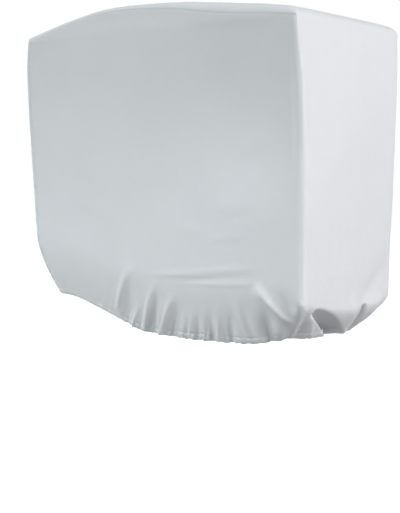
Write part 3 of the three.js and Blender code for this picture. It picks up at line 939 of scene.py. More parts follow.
@dataclass
class PanelRows:
    """Places of a panel's rows, in millimetres above the hem's edge or below the top seam."""

    sizes: CoverSizes
    seams: SeamFinish
    edge_rows: tuple[float, ...] = (0.0, 1.2, 3.0, 5.0, 7.0, 9.0, 11.0)
    casing_rows: tuple[float, ...] = (-0.6, 0.6, 1.8)
    fine_start: float = 4.2
    fine_step: float = 3.1
    fine_top: float = 150.0
    coarse_step: float = 7.5
    nominal: float = 735.0

    def rises(self) -> Array:
        """Shares of the way up from the hem to the top seam.

        Returns:
            The shares, from 0 at the hem to 1 at the seam.
        """
        casing = self.sizes.casing
        low = [*self.edge_rows, *(casing + row for row in self.casing_rows)]
        fine = np.arange(casing + self.fine_start, self.fine_top, self.fine_step)
        ceiling = self.nominal - self.seams.near[-1]
        count = int((ceiling - fine[-1]) / self.coarse_step)
        coarse = np.linspace(fine[-1], ceiling, count + 1)[1:-1]
        top = self.nominal - np.array(self.seams.near[::-1])
        return np.concatenate([low, fine, coarse, top]) / self.nominal

    def edge_turn(self) -> Array:
        """Lengths of cloth below the hem's lower edge: round it and up its inner side.

        Returns:
            The lengths, as numbers less than 0, with the furthest first.
        """
        half_turn = math.pi * self.sizes.hem_roll
        round_edge = half_turn * np.array([0.25, 0.5, 0.75, 1.0])
        inside = half_turn + np.array([4.0, 8.0, self.sizes.casing])
        return -np.concatenate([round_edge, inside])[::-1]


@dataclass
class PanelMaker:
    """Works out the fine grids of the cover's three panels."""

    form: CoverForm = field(default_factory=CoverForm)
    gather: HemGather = field(default_factory=HemGather)
    seams: SeamFinish = field(default_factory=SeamFinish)
    side_length: float = 800.0
    side_step: float = 3.3
    strip_columns: int = 92
    drifts: tuple[tuple[float, ...], ...] = (
        (1.5, 165.0, 210.0, 0.0),
        (0.6, 74.0, 96.0, 5.0),
        (0.16, 31.0, 37.0, 0.0),
    )
    drift_seed: float = 7.0

    def __post_init__(self) -> None:
        """Sets out the rows that all panels share."""
        self.rows = PanelRows(self.form.sizes, self.seams)
        self.rises = self.rows.rises()
        self.turn_lengths = self.rows.edge_turn()

    def side_shares(self) -> Array:
        """Shares along a side, closer together at its seams.

        Returns:
            The shares, from 0 at the front seam to 1 at the back seam.
        """
        near = np.array(self.seams.near)
        start = near[-1]
        finish = self.side_length - near[-1]
        count = int((finish - start) / self.side_step)
        middle = np.linspace(start, finish, count + 1)[1:-1]
        return np.concatenate([near, middle, self.side_length - near[::-1]]) / self.side_length

    def drift(self, along: Array, z: Array, seed: float) -> Array:
        """Soft uneven swell of the cloth between its seams, coarse to fine.

        Args:
            along: Places along the panel.
            z: Places up or across it.
            seed: Number that sets this panel apart from others.

        Returns:
            Heights out of the cloth.
        """
        total = np.zeros(np.broadcast(along, z).shape)
        for number, (rise, wide, tall, shift) in enumerate(self.drifts):
            own_seed = seed + self.drift_seed + number
            total += rise * rolling(along / wide + shift, z / tall, own_seed)
        return total

    def with_edge_turn(self, points: Array, hem_outward: Array) -> Array:
        """Adds the rows that run round the hem's lower edge and up its inner side.

        Args:
            points: Rows of the outer face, from the hem's edge upward.
            hem_outward: Level directions out of the cloth along the hem's edge.

        Returns:
            The rows of the edge turn, followed by the given ones.
        """
        roll = self.form.sizes.hem_roll
        foot = points[0]
        rows = []
        for length in -self.turn_lengths:
            angle = min(length / roll, math.pi)
            inward = roll * (1.0 - math.cos(angle))
            down = roll * math.sin(angle) - max(length - math.pi * roll, 0.0)
            rows.append(foot - hem_outward * inward - np.array([0.0, 0.0, down]))
        return np.concatenate([np.array(rows), points], axis=0)

    def side_grid(self, side: WallForm) -> ClothGrid:
        """Fine grid of one side panel, without its seam allowances.

        Args:
            side: The port or starboard wall.

        Returns:
            The panel's grid.
        """
        sizes = self.form.sizes
        shares = self.side_shares()
        share = np.broadcast_to(shares[None, :], (len(self.rises), len(shares)))
        rise = np.broadcast_to(self.rises[:, None], share.shape)
        points = self.form.side_point(side, share, rise)
        height = rise * self.rows.nominal
        lift = self.gather.lift(side, points[..., 0], height)
        points[..., 2] += sizes.hem_roll * np.exp(-height / sizes.hem_roll_reach) + lift
        normals = grid_normals(points) * (-side.sign)
        level = levelled(normals)
        x = points[..., 0]
        z = points[..., 2]
        from_front = share * self.side_length
        from_back = (1.0 - share) * self.side_length
        from_top = (1.0 - rise) * self.rows.nominal
        upright = ease(from_front / sizes.upright_ease) * ease(from_back / sizes.upright_ease)
        quiet = upright * ease(from_top / sizes.top_ease)
        folds = side.relief.rise(x, z) + self.drift(x, z, side.seed)
        hem_rise = self.gather.rise(side, x, height, sizes.casing)
        hem_quiet = SEAM_SIDE_GATHER + (1.0 - SEAM_SIDE_GATHER) * upright
        seam_rise = (
            self.seams.rise(from_front, height, side.seed, self.seams.at_front)
            + self.seams.rise(from_back, height, side.seed + 1.0, self.seams.at_back)
            + self.seams.rise(from_top, from_front, side.seed + 2.0, self.seams.at_top)
        )
        points = points + level * (folds * quiet + hem_rise * hem_quiet)[..., None]
        points = points + normals * seam_rise[..., None]
        return self._finish(points, level[0], shares * self.side_length, height, [
            (from_front, height), (from_back, height), (from_top, from_front)
        ], side.sign > 0)

    def _finish(
        self,
        points: Array,
        hem_outward: Array,
        along: Array,
        height: Array,
        seams: list[tuple[Array, Array]],
        flipped: bool,
    ) -> ClothGrid:
        """Adds a side panel's edge turn and gathers what its material needs.

        Args:
            points: Points of the outer face.
            hem_outward: Level directions out of the cloth along the hem's edge.
            along: Places of the columns along the side.
            height: Heights above the hem's edge.
            seams: For each seam, the distances from it and the places along it.
            flipped: Whether the corners of the faces run the other way.

        Returns:
            The panel's grid.
        """
        distance = np.stack([seam[0] for seam in seams])
        runs = np.stack([seam[1] for seam in seams])
        nearest = np.argmin(distance, axis=0)[None]
        seam = np.take_along_axis(distance, nearest, axis=0)[0]
        run = np.take_along_axis(runs, nearest, axis=0)[0]
        hems = np.concatenate([self.turn_lengths[:, None] + np.zeros(len(along)), height])
        cloth = np.stack(np.broadcast_arrays(along[None, :], hems), axis=-1)
        below = len(self.turn_lengths)
        return ClothGrid(
            points=self.with_edge_turn(points, hem_outward),
            cloth=cloth,
            seam=np.concatenate([np.repeat(seam[:1], below, axis=0), seam]),
            run=np.concatenate([np.repeat(run[:1], below, axis=0), run]),
            hem=hems,
            flipped=flipped,
        )

    def strip_shares(self, length: float) -> Array:
        """Shares across the strip at a station of the given length.

        Args:
            length: Length of the station from seam to seam.

        Returns:
            The shares, from 0 at the port seam to 1 at the starboard one.
        """
        near = np.array(self.seams.near)
        count = self.strip_columns - 2 * len(near)
        middle = np.linspace(near[-1], length - near[-1], count + 2)[1:-1]
        return np.concatenate([near, middle, length - near[::-1]]) / length

    def seam_point(self, side: WallForm, share: float, rise: float) -> Array:
        """One point of a side panel."""
        return self.form.side_point(side, np.array(share), np.array(rise))

    def top_way(self, share: float) -> Array:
        """The way that the top looks at a share of its length.

        Args:
            share: Share of the top's length.

        Returns:
            A vector of length 1.
        """
        x = float(self.seam_point(PORT, share, 1.0)[0])
        rise = float(RIDGE.at(x + 1.0)["z"] - RIDGE.at(x - 1.0)["z"])
        return unit(np.array([-rise, 0.0, 2.0]))

    def turned_edge(
        self, past: float, wall_way: Array, share: float, depths: tuple[float, float]
    ) -> tuple[Array, float]:
        """Way that the strip looks, and the depth of its edges, near a top corner of the side.

        Args:
            past: Distance past the corner, less than 0 on the wall and more on the top.
            wall_way: The way that the wall looks.
            share: Share of the top's length.
            depths: Depth of the edges there, and at the corner itself.

        Returns:
            The way that the face looks, and its depth above the seams.
        """
        sizes = self.form.sizes
        turned = float(ease(np.array(0.5 + past / (2.0 * sizes.turn_reach))))
        outward = unit(wall_way * (1.0 - turned) + self.top_way(share) * turned)
        near = max(1.0 - abs(past) / sizes.turn_reach, 0.0)
        edge, corner_edge = depths
        return outward, edge + (corner_edge - edge) * near**2

    def wall_station(self, end: WallForm, rise: float) -> tuple[Array, Array]:
        """Points across the front or back wall at one row, and their distances across.

        Args:
            end: The front or back wall.
            rise: Share of the way from the hem to the top seam.

        Returns:
            The points, and their distances from the port seam.
        """
        sizes = self.form.sizes
        edge = self.form.end_point(end, np.array([0.0, 0.5]), rise)
        turn = end.turns.at(np.array(0.0))
        inward = float(self.form.turned_in(turn, edge[0, 2]))
        at_front = end.wall is Wall.FRONT
        hem_radius = sizes.hem_front_radius if at_front else sizes.hem_back_radius
        corner = float(WALLS.at(edge[0, 2])["corner"])
        wall_radius = sizes.edge_radius if at_front else corner
        radius = wall_radius * (1.0 - inward) + hem_radius * inward
        angle = EIGHTH_TURN * (2.0 - inward if at_front else 1.0)
        length = abs(edge[1, 1] - edge[0, 1]) * 2.0 + radius * angle
        shares = self.strip_shares(length)
        return self.form.end_point(end, shares, rise), shares * length

    def top_station(
        self, seam_share: float, rise: float, outward: Array, depth: float, crown: float
    ) -> tuple[Array, Array]:
        """Points across the strip from seam to seam, and their distances across.

        Args:
            seam_share: Share of the way from the front seam to the back seam.
            rise: Share of the way from the hem to the top seam.
            outward: The way that the strip's face looks.
            depth: How far the face stands above the seams.
            crown: Rise of the middle.

        Returns:
            The points, and their distances from the port seam.
        """
        port = self.seam_point(PORT, seam_share, rise)
        starboard = self.seam_point(STARBOARD, seam_share, rise)
        width = float(np.linalg.norm(starboard - port))
        length = width + (math.pi - 2.0) * depth
        shares = self.strip_shares(length)
        points = self.form.over_top(port, starboard, outward, depth, crown, shares)
        return points, shares * length

    def strip_stations(self) -> tuple[list[Array], list[Array], list[float], list[WallForm]]:
        """Stations of the strip: up the front wall, back over the top and down the back wall.

        Returns:
            The points of each station, their distances across, the station's height above its hem
            or TOP_MARK on the top, and the wall that its folds are read from.
        """
        sizes = self.form.sizes
        shares = self.side_shares()
        near = len(self.seams.near)
        kept = np.concatenate([shares[:near], shares[near:-near:2], shares[-near:]])
        front_corner = self.seam_point(PORT, 0.0, 1.0)
        back_corner = self.seam_point(PORT, 1.0, 1.0)
        forward = np.array([-1.0, 0.0, 0.0])
        stations: list[Array] = []
        across: list[Array] = []
        heights: list[float] = []
        walls: list[WallForm] = []

        def keep(found: tuple[Array, Array], height: float, wall: WallForm) -> None:
            """Stores one station.

            Args:
                found: The station's points and their distances across.
                height: Its height above the hem, or TOP_MARK.
                wall: The wall that its folds are read from.
            """
            stations.append(found[0])
            across.append(found[1])
            heights.append(height)
            walls.append(wall)

        for rise in self.rises[:-1]:
            seam = self.seam_point(PORT, 0.0, rise)
            past = seam[2] - front_corner[2]
            height = rise * self.rows.nominal
            if past < -sizes.turn_reach:
                keep(self.wall_station(FRONT, rise), height, FRONT)
            else:
                edges = (sizes.edge_radius, sizes.edge_radius)
                outward, depth = self.turned_edge(past, forward, 0.0, edges)
                keep(self.top_station(0.0, rise, outward, depth, 0.0), height, FRONT)
        for share in kept:
            seam = self.seam_point(PORT, share, 1.0)
            from_front = seam[0] - front_corner[0]
            to_back = back_corner[0] - seam[0]
            if from_front < to_back:
                wall, corner_depth, wall_way = FRONT, sizes.edge_radius, forward
            else:
                wall, corner_depth, wall_way = BACK, sizes.back_top_wrap, -forward
            past = min(from_front, to_back)
            edges = (float(RIDGE.at(seam[0])["edge"]), corner_depth)
            outward, depth = self.turned_edge(past, wall_way, share, edges)
            front_in = ease(np.array((from_front + sizes.edge_radius) / sizes.front_crown_reach))
            back_in = ease(np.array((to_back + sizes.edge_radius) / sizes.back_crown_reach))
            crown = sizes.top_crown * float(front_in * back_in)
            keep(self.top_station(share, 1.0, outward, depth, crown), TOP_MARK, wall)
        for rise in self.rises[-2::-1]:
            seam = self.seam_point(PORT, 1.0, rise)
            past = seam[2] - back_corner[2]
            points, distance = self.wall_station(BACK, rise)
            low = float(ease(np.array(-past / sizes.back_top_ease)))
            if low < 1.0:
                edges = (sizes.back_top_wrap, sizes.back_top_wrap)
                outward, depth = self.turned_edge(past, -forward, 1.0, edges)
                folded = self.top_station(1.0, rise, outward, depth, 0.0)[0]
                points = folded * (1.0 - low) + points * low
            keep((points, distance), rise * self.rows.nominal, BACK)
        return stations, across, heights, walls

    def strip_grid(self) -> ClothGrid:
        """Fine grid of the strip, without its seam allowances.

        Returns:
            The strip's grid.
        """
        sizes = self.form.sizes
        stations, across, heights, walls = self.strip_stations()
        points = np.array(stations)
        distance = np.array(across)
        height = np.array(heights)[:, None] + np.zeros(distance.shape)
        points[..., 2] += sizes.hem_roll * np.exp(-height / sizes.hem_roll_reach)
        normals = -grid_normals(points)
        level = levelled(normals)
        length = distance[:, -1:]
        from_port = distance
        from_starboard = length - distance
        upright = ease(from_port / sizes.upright_ease) * ease(from_starboard / sizes.upright_ease)
        middle = distance.shape[1] // 2
        steps = np.linalg.norm(np.diff(points[:, middle], axis=0), axis=1)
        station_run = np.concatenate([[0.0], np.cumsum(steps)])[:, None]
        run = station_run + np.zeros(distance.shape)
        at_back = np.array([wall.wall is Wall.BACK for wall in walls])[:, None]
        y = points[..., 1]
        z = points[..., 2]
        quiet = upright * ease((sizes.wall_fold_top - z) / sizes.wall_fold_fade)
        hem_quiet = SEAM_SIDE_GATHER + (1.0 - SEAM_SIDE_GATHER) * upright
        for wall, chosen in ((FRONT, ~at_back), (BACK, at_back)):
            folds = wall.relief.rise(y, z) * quiet
            hem_rise = self.gather.rise(wall, y, height, sizes.casing) * hem_quiet
            on_wall = chosen & (height < WALL_LIMIT)
            points = points + level * np.where(on_wall, folds + hem_rise, 0.0)[..., None]
            lift = self.gather.lift(wall, y, height) * hem_quiet
            points[..., 2] += np.where(on_wall, lift, 0.0)
        on_front = self.seams.at_front * (~at_back & (height < WALL_LIMIT))
        on_back = self.seams.at_back * (at_back & (height < WALL_LIMIT))
        shown = on_front + on_back + self.seams.at_top * (height >= WALL_LIMIT)
        seam_rise = self.seams.rise(from_port, run, 41.0, shown)
        seam_rise = seam_rise + self.seams.rise(from_starboard, run, 43.0, shown)
        drift = self.drift(run, distance, 47.0) * upright
        points = points + normals * (seam_rise + drift)[..., None]
        points = self.with_edge_turn(points, level[0])
        points = self.with_edge_turn(points[::-1], level[-1])[::-1]
        turn = self.turn_lengths
        seam = np.minimum(from_port, from_starboard)
        hem = np.minimum(height, WALL_LIMIT)
        before = turn[:, None] + np.zeros(distance.shape[1])
        cloth_run = np.concatenate([before, run, run[-1:] - before[::-1]])
        cloth_across = self._padded(distance - length / 2.0, len(turn))
        return ClothGrid(
            points=points,
            cloth=np.stack([cloth_across, cloth_run], axis=-1),
            seam=self._padded(seam, len(turn)),
            run=self._padded(run, len(turn)),
            hem=np.concatenate([before, hem, before[::-1]]),
            flipped=True,
        )

    @staticmethod
    def _padded(values: Array, count: int) -> Array:
        """Values of a grid with its first and last rows repeated.

        Args:
            values: Values of the grid.
            count: How many times each of the two rows is repeated.

        Returns:
            Values of the longer grid.
        """
        first = np.repeat(values[:1], count, axis=0)
        last = np.repeat(values[-1:], count, axis=0)
        return np.concatenate([first, values, last])


# ------------------------------------------------------------------ pieces


class Border(Enum):
    """Sewn borders of a panel: its first and last columns and its top row."""

    FIRST = "first"
    LAST = "last"
    TOP = "top"


BORDER_PLACES = {Border.FIRST: np.s_[:, 0], Border.LAST: np.s_[:, -1], Border.TOP: np.s_[-1]}
PLACES_BESIDE = {Border.FIRST: np.s_[:, 1], Border.LAST: np.s_[:, -2], Border.TOP: np.s_[-2]}


@dataclass
class SeamAllowance:
    """Cloth turned in behind a panel's sewn borders."""

    depths: tuple[float, float]
    gap: float
    slant: float = 0.02

    def turn_in(self, grid: ClothGrid, inward: Array, border: Border) -> ClothGrid:
        """Adds the turned-in cloth behind one border.

        Args:
            grid: The panel.
            inward: Level directions into the cover along that border.
            border: Which border.

        Returns:
            The panel with two more rows or columns.
        """
        take = BORDER_PLACES[border]
        beside = PLACES_BESIDE[border]
        into = unit(grid.points[beside] - grid.points[take])
        edge = grid.points[take] + into * (self.gap / 2.0)
        grid.points[take] = edge
        rows = [edge + inward * depth + into * self.slant * depth for depth in self.depths]
        axis = 0 if border is Border.TOP else 1

        def joined(values: Array, extra: list[Array]) -> Array:
            """The values with the extra rows or columns beside their border.

            Args:
                values: Values of the grid.
                extra: The new rows or columns, with the nearest one first.

            Returns:
                Values of the longer grid.
            """
            more = [np.expand_dims(one, axis) for one in extra]
            if border is Border.FIRST:
                return np.concatenate([*more[::-1], values], axis=axis)
            return np.concatenate([values, *more], axis=axis)

        flat_step = np.array([0.0, 1.0]) if border is Border.TOP else np.array([1.0, 0.0])
        way = -1.0 if border is Border.FIRST else 1.0
        flat = [grid.cloth[take] + flat_step * way * depth for depth in self.depths]
        return ClothGrid(
            points=joined(grid.points, rows),
            cloth=joined(grid.cloth, flat),
            seam=joined(grid.seam, [np.zeros_like(grid.seam[take])] * 2),
            run=joined(grid.run, [grid.run[take]] * 2),
            hem=joined(grid.hem, [grid.hem[take]] * 2),
            flipped=grid.flipped,
        )


@dataclass
class Sewing:
    """Makes cloth pieces out of grids."""

    maker: PanelMaker
    corner_reach: float = 4.0
    corner_start: float = 0.2
    low_top: float = 150.0
    low_fade: float = 120.0
    end_reach: float = 300.0
    smooth_angle: float = 60.0

    def inward_along(self, points: Array, sign: float) -> Array:
        """Level directions into the cover behind the points of a seam.

        Args:
            points: Points of the seam.
            sign: The way that its side looks, along Y.

        Returns:
            Unit vectors; at the back corners they point in diagonally.
        """
        wall = WALLS.at(points[:, 2])
        to_back = wall["back"] - wall["corner"] - points[:, 0]
        turn = ease(-to_back / self.corner_reach + self.corner_start) * EIGHTH_TURN
        low = ease((self.low_top - points[:, 2]) / self.low_fade) * EIGHTH_TURN
        at_back = points[:, 0] > self.end_reach
        at_front = points[:, 0] < -self.end_reach
        angle = np.where(at_back, np.maximum(turn, low), np.where(at_front, -low, 0.0))
        level = [-np.sin(angle), -sign * np.cos(angle), np.zeros(len(points))]
        return np.stack(level, axis=-1)

    def side_piece(self, side: WallForm, name: str) -> bpy.types.Object:
        """Makes a side panel with its seam allowances."""
        borders = [(border, side.sign) for border in (Border.TOP, Border.FIRST, Border.LAST)]
        return self.sewn(self.maker.side_grid(side), borders, name)

    def strip_piece(self, name: str) -> bpy.types.Object:
        """Makes the centre strip with its seam allowances."""
        borders = [(Border.FIRST, PORT.sign), (Border.LAST, STARBOARD.sign)]
        return self.sewn(self.maker.strip_grid(), borders, name)

    def sewn(
        self, grid: ClothGrid, borders: list[tuple[Border, float]], name: str
    ) -> bpy.types.Object:
        """Makes a piece whose borders are turned in.

        Args:
            grid: Outer face of the panel.
            borders: Each border, with the way that its side looks along Y.
            name: Name of the object.

        Returns:
            The finished object.
        """
        allowance = SeamAllowance(self.maker.seams.allowances, self.maker.form.sizes.seam_gap)
        for border, sign in borders:
            inward = self.inward_along(grid.points[BORDER_PLACES[border]], sign)
            grid = allowance.turn_in(grid, inward, border)
        return self.piece(grid, name)

    def piece(self, grid: ClothGrid, name: str) -> bpy.types.Object:
        """Makes a mesh object of a grid, gives it its thickness and its maps.

        Args:
            grid: Outer face of the panel.
            name: Name of the object.

        Returns:
            The finished object.
        """
        rows, columns = grid.seam.shape
        number = np.arange(rows * columns).reshape(rows, columns)
        corners = [number[:-1, :-1], number[:-1, 1:], number[1:, 1:], number[1:, :-1]]
        if grid.flipped:
            corners = corners[::-1]
        quads = np.stack(corners, axis=-1).reshape(-1, 4)
        mesh = bpy.data.meshes.new(name)
        mesh.from_pydata((grid.points.reshape(-1, 3) * MM).tolist(), [], quads.tolist())
        flat = mesh.uv_layers.new(name="cloth")
        flat.data.foreach_set("uv", (grid.cloth.reshape(-1, 2)[quads] * MM).ravel())
        for label, values in (("seam", grid.seam), ("run", grid.run), ("hem", grid.hem)):
            layer = mesh.attributes.new(label, "FLOAT", "POINT")
            layer.data.foreach_set("value", (values * MM).ravel())
        mesh.update()
        piece = bpy.data.objects.new(name, mesh)
        bpy.context.scene.collection.objects.link(piece)
        bpy.ops.object.select_all(action="DESELECT")
        piece.select_set(True)
        bpy.context.view_layer.objects.active = piece
        thicken = piece.modifiers.new("cloth thickness", "SOLIDIFY")
        thicken.thickness = self.maker.form.sizes.cloth * MM
        thicken.offset = -1.0
        thicken.use_rim = True
        bpy.ops.object.modifier_apply(modifier=thicken.name)
        bpy.ops.object.shade_smooth_by_angle(angle=math.radians(self.smooth_angle))
        LOG.info("%s: %d faces", name, len(piece.data.polygons))
        return piece


# ------------------------------------------------------------------ materials


class Term:
    """A shader socket or number that takes part in sums."""

    def __init__(self, nodes: "ShaderNodes", socket: bpy.types.NodeSocket) -> None:
        """Wraps one output socket."""
        self.nodes = nodes
        self.socket = socket

    def _with(self, operation: str, *values: object) -> "Term":
        """Result of a Math node."""
        node = self.nodes.add("ShaderNodeMath", {"operation": operation}, dict(enumerate(values)))
        return Term(self.nodes, node.outputs[0])

    def __add__(self, other: object) -> "Term":
        """Sum."""
        return self._with("ADD", self, other)

    __radd__ = __add__

    def __sub__(self, other: object) -> "Term":
        """Difference."""
        return self._with("SUBTRACT", self, other)

    def __rsub__(self, other: object) -> "Term":
        """Difference from a number."""
        return self._with("SUBTRACT", other, self)

    def __mul__(self, other: object) -> "Term":
        """Product."""
        return self._with("MULTIPLY", self, other)

    __rmul__ = __mul__

    def __truediv__(self, other: object) -> "Term":
        """Quotient."""
        return self._with("DIVIDE", self, other)

    def __rtruediv__(self, other: object) -> "Term":
        """Quotient of a number by the value."""
        return self._with("DIVIDE", other, self)

    def wave(self) -> "Term":
        """Sine."""
        return self._with("SINE", self)

    def size(self) -> "Term":
        """Value without its sign."""
        return self._with("ABSOLUTE", self)

    def over(self, limit: float) -> "Term":
        """1 where the value is above the limit, else 0."""
        return self._with("GREATER_THAN", self, limit)

    def hump(self, centre: float, width: float) -> "Term":
        """1 at the centre, falling to 0 at the given distance on either side."""
        near = 1.0 - (self - centre).size() / width
        return near._with("MAXIMUM", near, 0.0)


class ShaderNodes:
    """Node tree of one material or world, filled by one node-making method."""

    def __init__(self, owner: bpy.types.Material | bpy.types.World) -> None:
        """Empties the node tree of a material or world.

        Args:
            owner: The material or world.
        """
        owner.use_nodes = True
        self.owner = owner
        self.tree = owner.node_tree
        self.tree.nodes.clear()

    def add(
        self, kind: str, settings: dict[str, object], inputs: dict[object, object]
    ) -> bpy.types.Node:
        """Makes a node.

        Args:
            kind: Type name of the node.
            settings: Its own settings, set first.
            inputs: Values or Terms by the socket's name or number.

        Returns:
            The node.
        """
        node = self.tree.nodes.new(kind)
        for key, value in settings.items():
            setattr(node, key, value)
        for key, value in inputs.items():
            socket = node.inputs[key]
            if isinstance(value, Term):
                self.tree.links.new(value.socket, socket)
            else:
                socket.default_value = value
        return node

    def term(self, node: bpy.types.Node, output: object = 0) -> Term:
        """One output of a node as a Term."""
        return Term(self, node.outputs[output])

    def attribute(self, name: str) -> Term:
        """A number that the mesh carries at each point."""
        settings = {"attribute_type": "GEOMETRY", "attribute_name": name}
        return self.term(self.add("ShaderNodeAttribute", settings, {}), "Fac")


@dataclass(frozen=True)
class BoatCloth:
    """Pale silver-grey coated woven polyester."""

    name: str = "boat cloth"
    colour: tuple[float, float, float] = (0.60, 0.625, 0.64)
    shade: tuple[float, float, float] = (0.545, 0.572, 0.588)
    roughness: float = 0.62
    sheen: float = 0.12
    weave_pitch: float = 0.0011
    weave_depth: float = 0.000022
    stitch_place: float = 0.0062
    stitch_pitch: float = 0.0042
    hem_stitch: float = 0.0132
    stitch_width: float = 0.0009
    stitch_gap: float = -0.35
    slub_depth: float = 0.00005
    crumple_depth: float = 0.0009
    seam_dash_depth: float = 0.00035
    seam_row_depth: float = 0.0003
    hem_dash_depth: float = 0.0002
    hem_row_depth: float = 0.0001
    mottle_noise: tuple[float, float, float] = (9.0, 4.0, 0.55)
    slub_noise: tuple[float, float, float] = (60.0, 3.0, 0.6)
    crumple_noise: tuple[float, float, float] = (26.0, 4.0, 0.5)
    mottle_shade: float = 0.55
    slub_shade: float = 0.3
    weave_shade: float = 0.04
    # painted shadow: share by which the colour darkens right along each seam line
    painted_seam_shadow_share: float = 0.12
    shade_offset: float = 0.05
    mottle_gloss: float = 0.12
    sheen_roughness: float = 0.5
    specular: float = 0.35
    # painted shadow: width of the darkened band either side of each seam line
    painted_seam_shadow_width: float = 0.0035

    def material(self) -> bpy.types.Material:
        """Builds the material.

        Returns:
            The finished material.
        """
        nodes = ShaderNodes(bpy.data.materials.new(self.name))
        flat = nodes.add("ShaderNodeUVMap", {"uv_map": "cloth"}, {})
        place = nodes.term(flat)
        split = nodes.add("ShaderNodeSeparateXYZ", {}, {0: place})
        u = nodes.term(split, 0)
        v = nodes.term(split, 1)
        seam = nodes.attribute("seam")
        run = nodes.attribute("run")
        hem = nodes.attribute("hem")

        turn = 2.0 * math.pi / self.weave_pitch
        weave = (u * turn).wave() * (v * turn).wave()
        mottle = self._noise(nodes, place, *self.mottle_noise)
        slub = self._noise(nodes, place, *self.slub_noise)
        crumple = self._noise(nodes, place, *self.crumple_noise)
        dash = (run * (2.0 * math.pi / self.stitch_pitch)).wave().over(self.stitch_gap)
        seam_row = seam.hump(self.stitch_place, self.stitch_width)
        hem_dash = (u * (2.0 * math.pi / self.stitch_pitch)).wave().over(self.stitch_gap)
        hem_row = hem.hump(self.hem_stitch, self.stitch_width)
        # painted shadow: the cloth is darkened within a few millimetres of every seam line, where the
        # seam's rolled groove lies in shade
        painted_seam_shadow = seam.hump(0.0, self.painted_seam_shadow_width)
        height = (
            weave * self.weave_depth
            + slub * self.slub_depth
            + crumple * self.crumple_depth
            + dash * seam_row * self.seam_dash_depth
            - seam_row * self.seam_row_depth
            + hem_dash * hem_row * self.hem_dash_depth
            - hem_row * self.hem_row_depth
        )
        bump = nodes.add(
            "ShaderNodeBump", {}, {"Strength": 1.0, "Distance": 1.0, "Height": height}
        )
        # the colour darkens towards the shade colour at random with mottle, slub and weave, and with
        # painted shadow along the seams
        soft = (
            mottle * self.mottle_shade
            + slub * self.slub_shade
            + weave * self.weave_shade
            + painted_seam_shadow * self.painted_seam_shadow_share
        )
        colour = nodes.add(
            "ShaderNodeMix",
            {"data_type": "RGBA", "clamp_factor": True},
            {0: soft - self.shade_offset, 6: (*self.colour, 1.0), 7: (*self.shade, 1.0)},
        )
        roughness = mottle * self.mottle_gloss + (self.roughness - self.mottle_gloss / 2.0)
        shader = nodes.add(
            "ShaderNodeBsdfPrincipled",
            {},
            {
                "Base Color": nodes.term(colour, 2),
                "Roughness": roughness,
                "Normal": nodes.term(bump),
                "Sheen Weight": self.sheen,
                "Sheen Roughness": self.sheen_roughness,
                "Specular IOR Level": self.specular,
            },
        )
        nodes.add("ShaderNodeOutputMaterial", {}, {"Surface": nodes.term(shader)})
        return nodes.owner

    @staticmethod
    def _noise(
        nodes: ShaderNodes, place: Term, scale: float, detail: float, roughness: float
    ) -> Term:
        """Noise from 0 to 1 on the flat cloth."""
        inputs = {"Vector": place, "Scale": scale, "Detail": detail, "Roughness": roughness}
        return nodes.term(nodes.add("ShaderNodeTexNoise", {"noise_dimensions": "3D"}, inputs))


# ------------------------------------------------------------------ the cover and its studio


# Length and width in metres of each sheet laid flat, with its hems and gathers let out.
SIDE_FLAT = (0.82, 0.78)
STRIP_FLAT = (2.36, 0.50)


@dataclass
class MotorCover:
    """The whole cover, dressed in its cloth."""

    sewing: Sewing
    cloth: BoatCloth = field(default_factory=BoatCloth)

    def build(self) -> None:
        """Builds the three panels and says what each one stands for."""
        finish = self.cloth.material()
        sewing = self.sewing
        pieces = (
            (sewing.side_piece(PORT, "port_side_cloth"), "side_panel_port", "side_cloth",
             SIDE_FLAT, "gathered"),
            (sewing.side_piece(STARBOARD, "starboard_side_cloth"), "side_panel_starboard", "side_cloth",
             SIDE_FLAT, "gathered"),
            (sewing.strip_piece("centre_strip_cloth"), "centre_strip", "strip_cloth",
             STRIP_FLAT, "gathered"),
        )
        for piece, node, slot, flat, held in pieces:
            piece.data.materials.append(finish)
            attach(piece, "root")
            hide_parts(node)
            LOG.info("%s stands for %s", piece.name, node)


SKY = (0.955, 0.98, 1.0)
WHITE = (1.0, 1.0, 1.0, 1.0)


@dataclass(frozen=True)
class Softbox:
    """A soft rectangular light aimed at the cover."""

    name: str
    place: tuple[float, float, float]
    size: tuple[float, float]
    power: float
    colour: tuple[float, float, float] = (1.0, 1.0, 1.0)
    target: tuple[float, float, float] = (0.0, 0.0, 0.4)
    spread: float = 180.0

    def hang(self) -> None:
        """Adds the light to the scene."""
        data = bpy.data.lights.new(self.name, "AREA")
        data.shape = "RECTANGLE"
        data.size, data.size_y = self.size
        data.energy = self.power
        data.color = self.colour
        data.spread = math.radians(self.spread)
        lamp = bpy.data.objects.new(self.name, data)
        lamp.location = self.place
        aim = Vector(self.target) - Vector(self.place)
        lamp.rotation_euler = aim.to_track_quat("-Z", "Y").to_euler()
        bpy.context.scene.collection.objects.link(lamp)


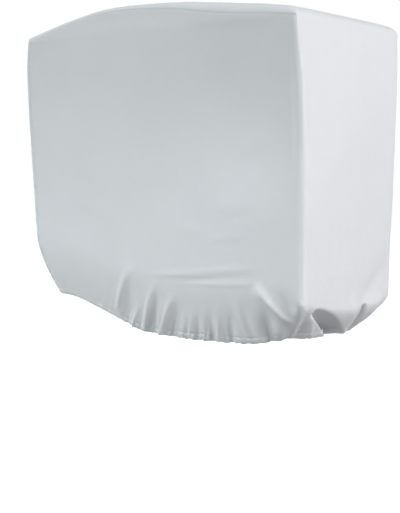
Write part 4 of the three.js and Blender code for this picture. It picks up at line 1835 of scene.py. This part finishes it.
@dataclass
class Studio:
    """Plain pale floor, soft light and the camera."""

    floor_height: float = -0.9
    floor_size: float = 60.0
    floor_colour: tuple[float, ...] = (0.9, 0.9, 0.9, 1.0)
    floor_roughness: float = 0.9
    floor_glow: float = 0.9
    world_light: float = 0.26
    world_seen: float = 1.0
    camera_place: tuple[float, float, float] = (1.5975, -2.189, 0.34)
    camera_look: tuple[float, float, float] = (-0.595, 0.804, 0.0)
    camera_lens: float = 77.19
    camera_sensor: float = 36.0
    camera_shift: float = -0.1277
    lights: tuple[Softbox, ...] = (
        Softbox("left key", (-3.3, -2.9, 3.7), (1.8, 1.6), 185.0, SKY),
        Softbox("right key", (5.2, -0.4, 2.3), (2.6, 2.6), 320.0, (1.0, 0.97, 0.98)),
        Softbox("low fill", (-0.9, -1.9, -0.5), (2.2, 0.7), 14.0, SKY, (-0.1, 0.0, 0.1)),
        Softbox("front fill", (-1.3, -2.0, -0.7), (0.4, 0.4), 0.15, SKY, (-0.36, -0.2, 0.14), 24.0),
        Softbox("gridded fill", (0.9, -2.3, -0.1), (0.4, 0.4), 0.36, SKY, (0.26, -0.2, 0.27), 32.0),
    )

    def build(self) -> None:
        """Adds the floor, the world, the lights and the camera."""
        self._floor()
        self._world()
        for light in self.lights:
            light.hang()
        self._camera()

    def _floor(self) -> None:
        """Adds the floor."""
        bpy.ops.object.select_all(action="DESELECT")
        place = (0.0, 0.0, self.floor_height)
        bpy.ops.mesh.primitive_plane_add(size=self.floor_size, location=place)
        floor = bpy.context.active_object
        floor.name = "floor"
        nodes = ShaderNodes(bpy.data.materials.new("pale floor"))
        shader = nodes.add(
            "ShaderNodeBsdfPrincipled",
            {},
            {
                "Base Color": self.floor_colour,
                "Roughness": self.floor_roughness,
                "Emission Color": WHITE,
                "Emission Strength": self.floor_glow,
            },
        )
        nodes.add("ShaderNodeOutputMaterial", {}, {"Surface": nodes.term(shader)})
        floor.data.materials.append(nodes.owner)
        floor.visible_diffuse = False
        floor.visible_glossy = False

    def _world(self) -> None:
        """Sets the white surroundings, dimmer as a light than as a background."""
        world = bpy.data.worlds.new("studio")
        bpy.context.scene.world = world
        nodes = ShaderNodes(world)
        path = nodes.add("ShaderNodeLightPath", {}, {})
        light, seen = (
            nodes.add("ShaderNodeBackground", {}, {"Color": WHITE, "Strength": strength})
            for strength in (self.world_light, self.world_seen)
        )
        shares = {0: nodes.term(path, "Is Camera Ray"), 1: nodes.term(light), 2: nodes.term(seen)}
        mix = nodes.add("ShaderNodeMixShader", {}, shares)
        nodes.add("ShaderNodeOutputWorld", {}, {"Surface": nodes.term(mix)})

    def _camera(self) -> None:
        """Adds the camera."""
        data = bpy.data.cameras.new("camera")
        data.lens = self.camera_lens
        data.sensor_width = self.camera_sensor
        data.sensor_fit = "AUTO"
        data.shift_y = self.camera_shift
        camera = bpy.data.objects.new("camera", data)
        camera.location = self.camera_place
        camera.rotation_euler = Vector(self.camera_look).to_track_quat("-Z", "Y").to_euler()
        bpy.context.scene.collection.objects.link(camera)
        bpy.context.scene.camera = camera


def main() -> None:
    """Builds the cover and its studio."""
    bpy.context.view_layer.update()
    bpy.context.scene.view_settings.view_transform = "Standard"
    cover = MotorCover(Sewing(PanelMaker()))
    cover.build()
    Studio().build()


if __name__ == "__main__":
    logging.basicConfig(level=logging.INFO, format="%(message)s")
    main()
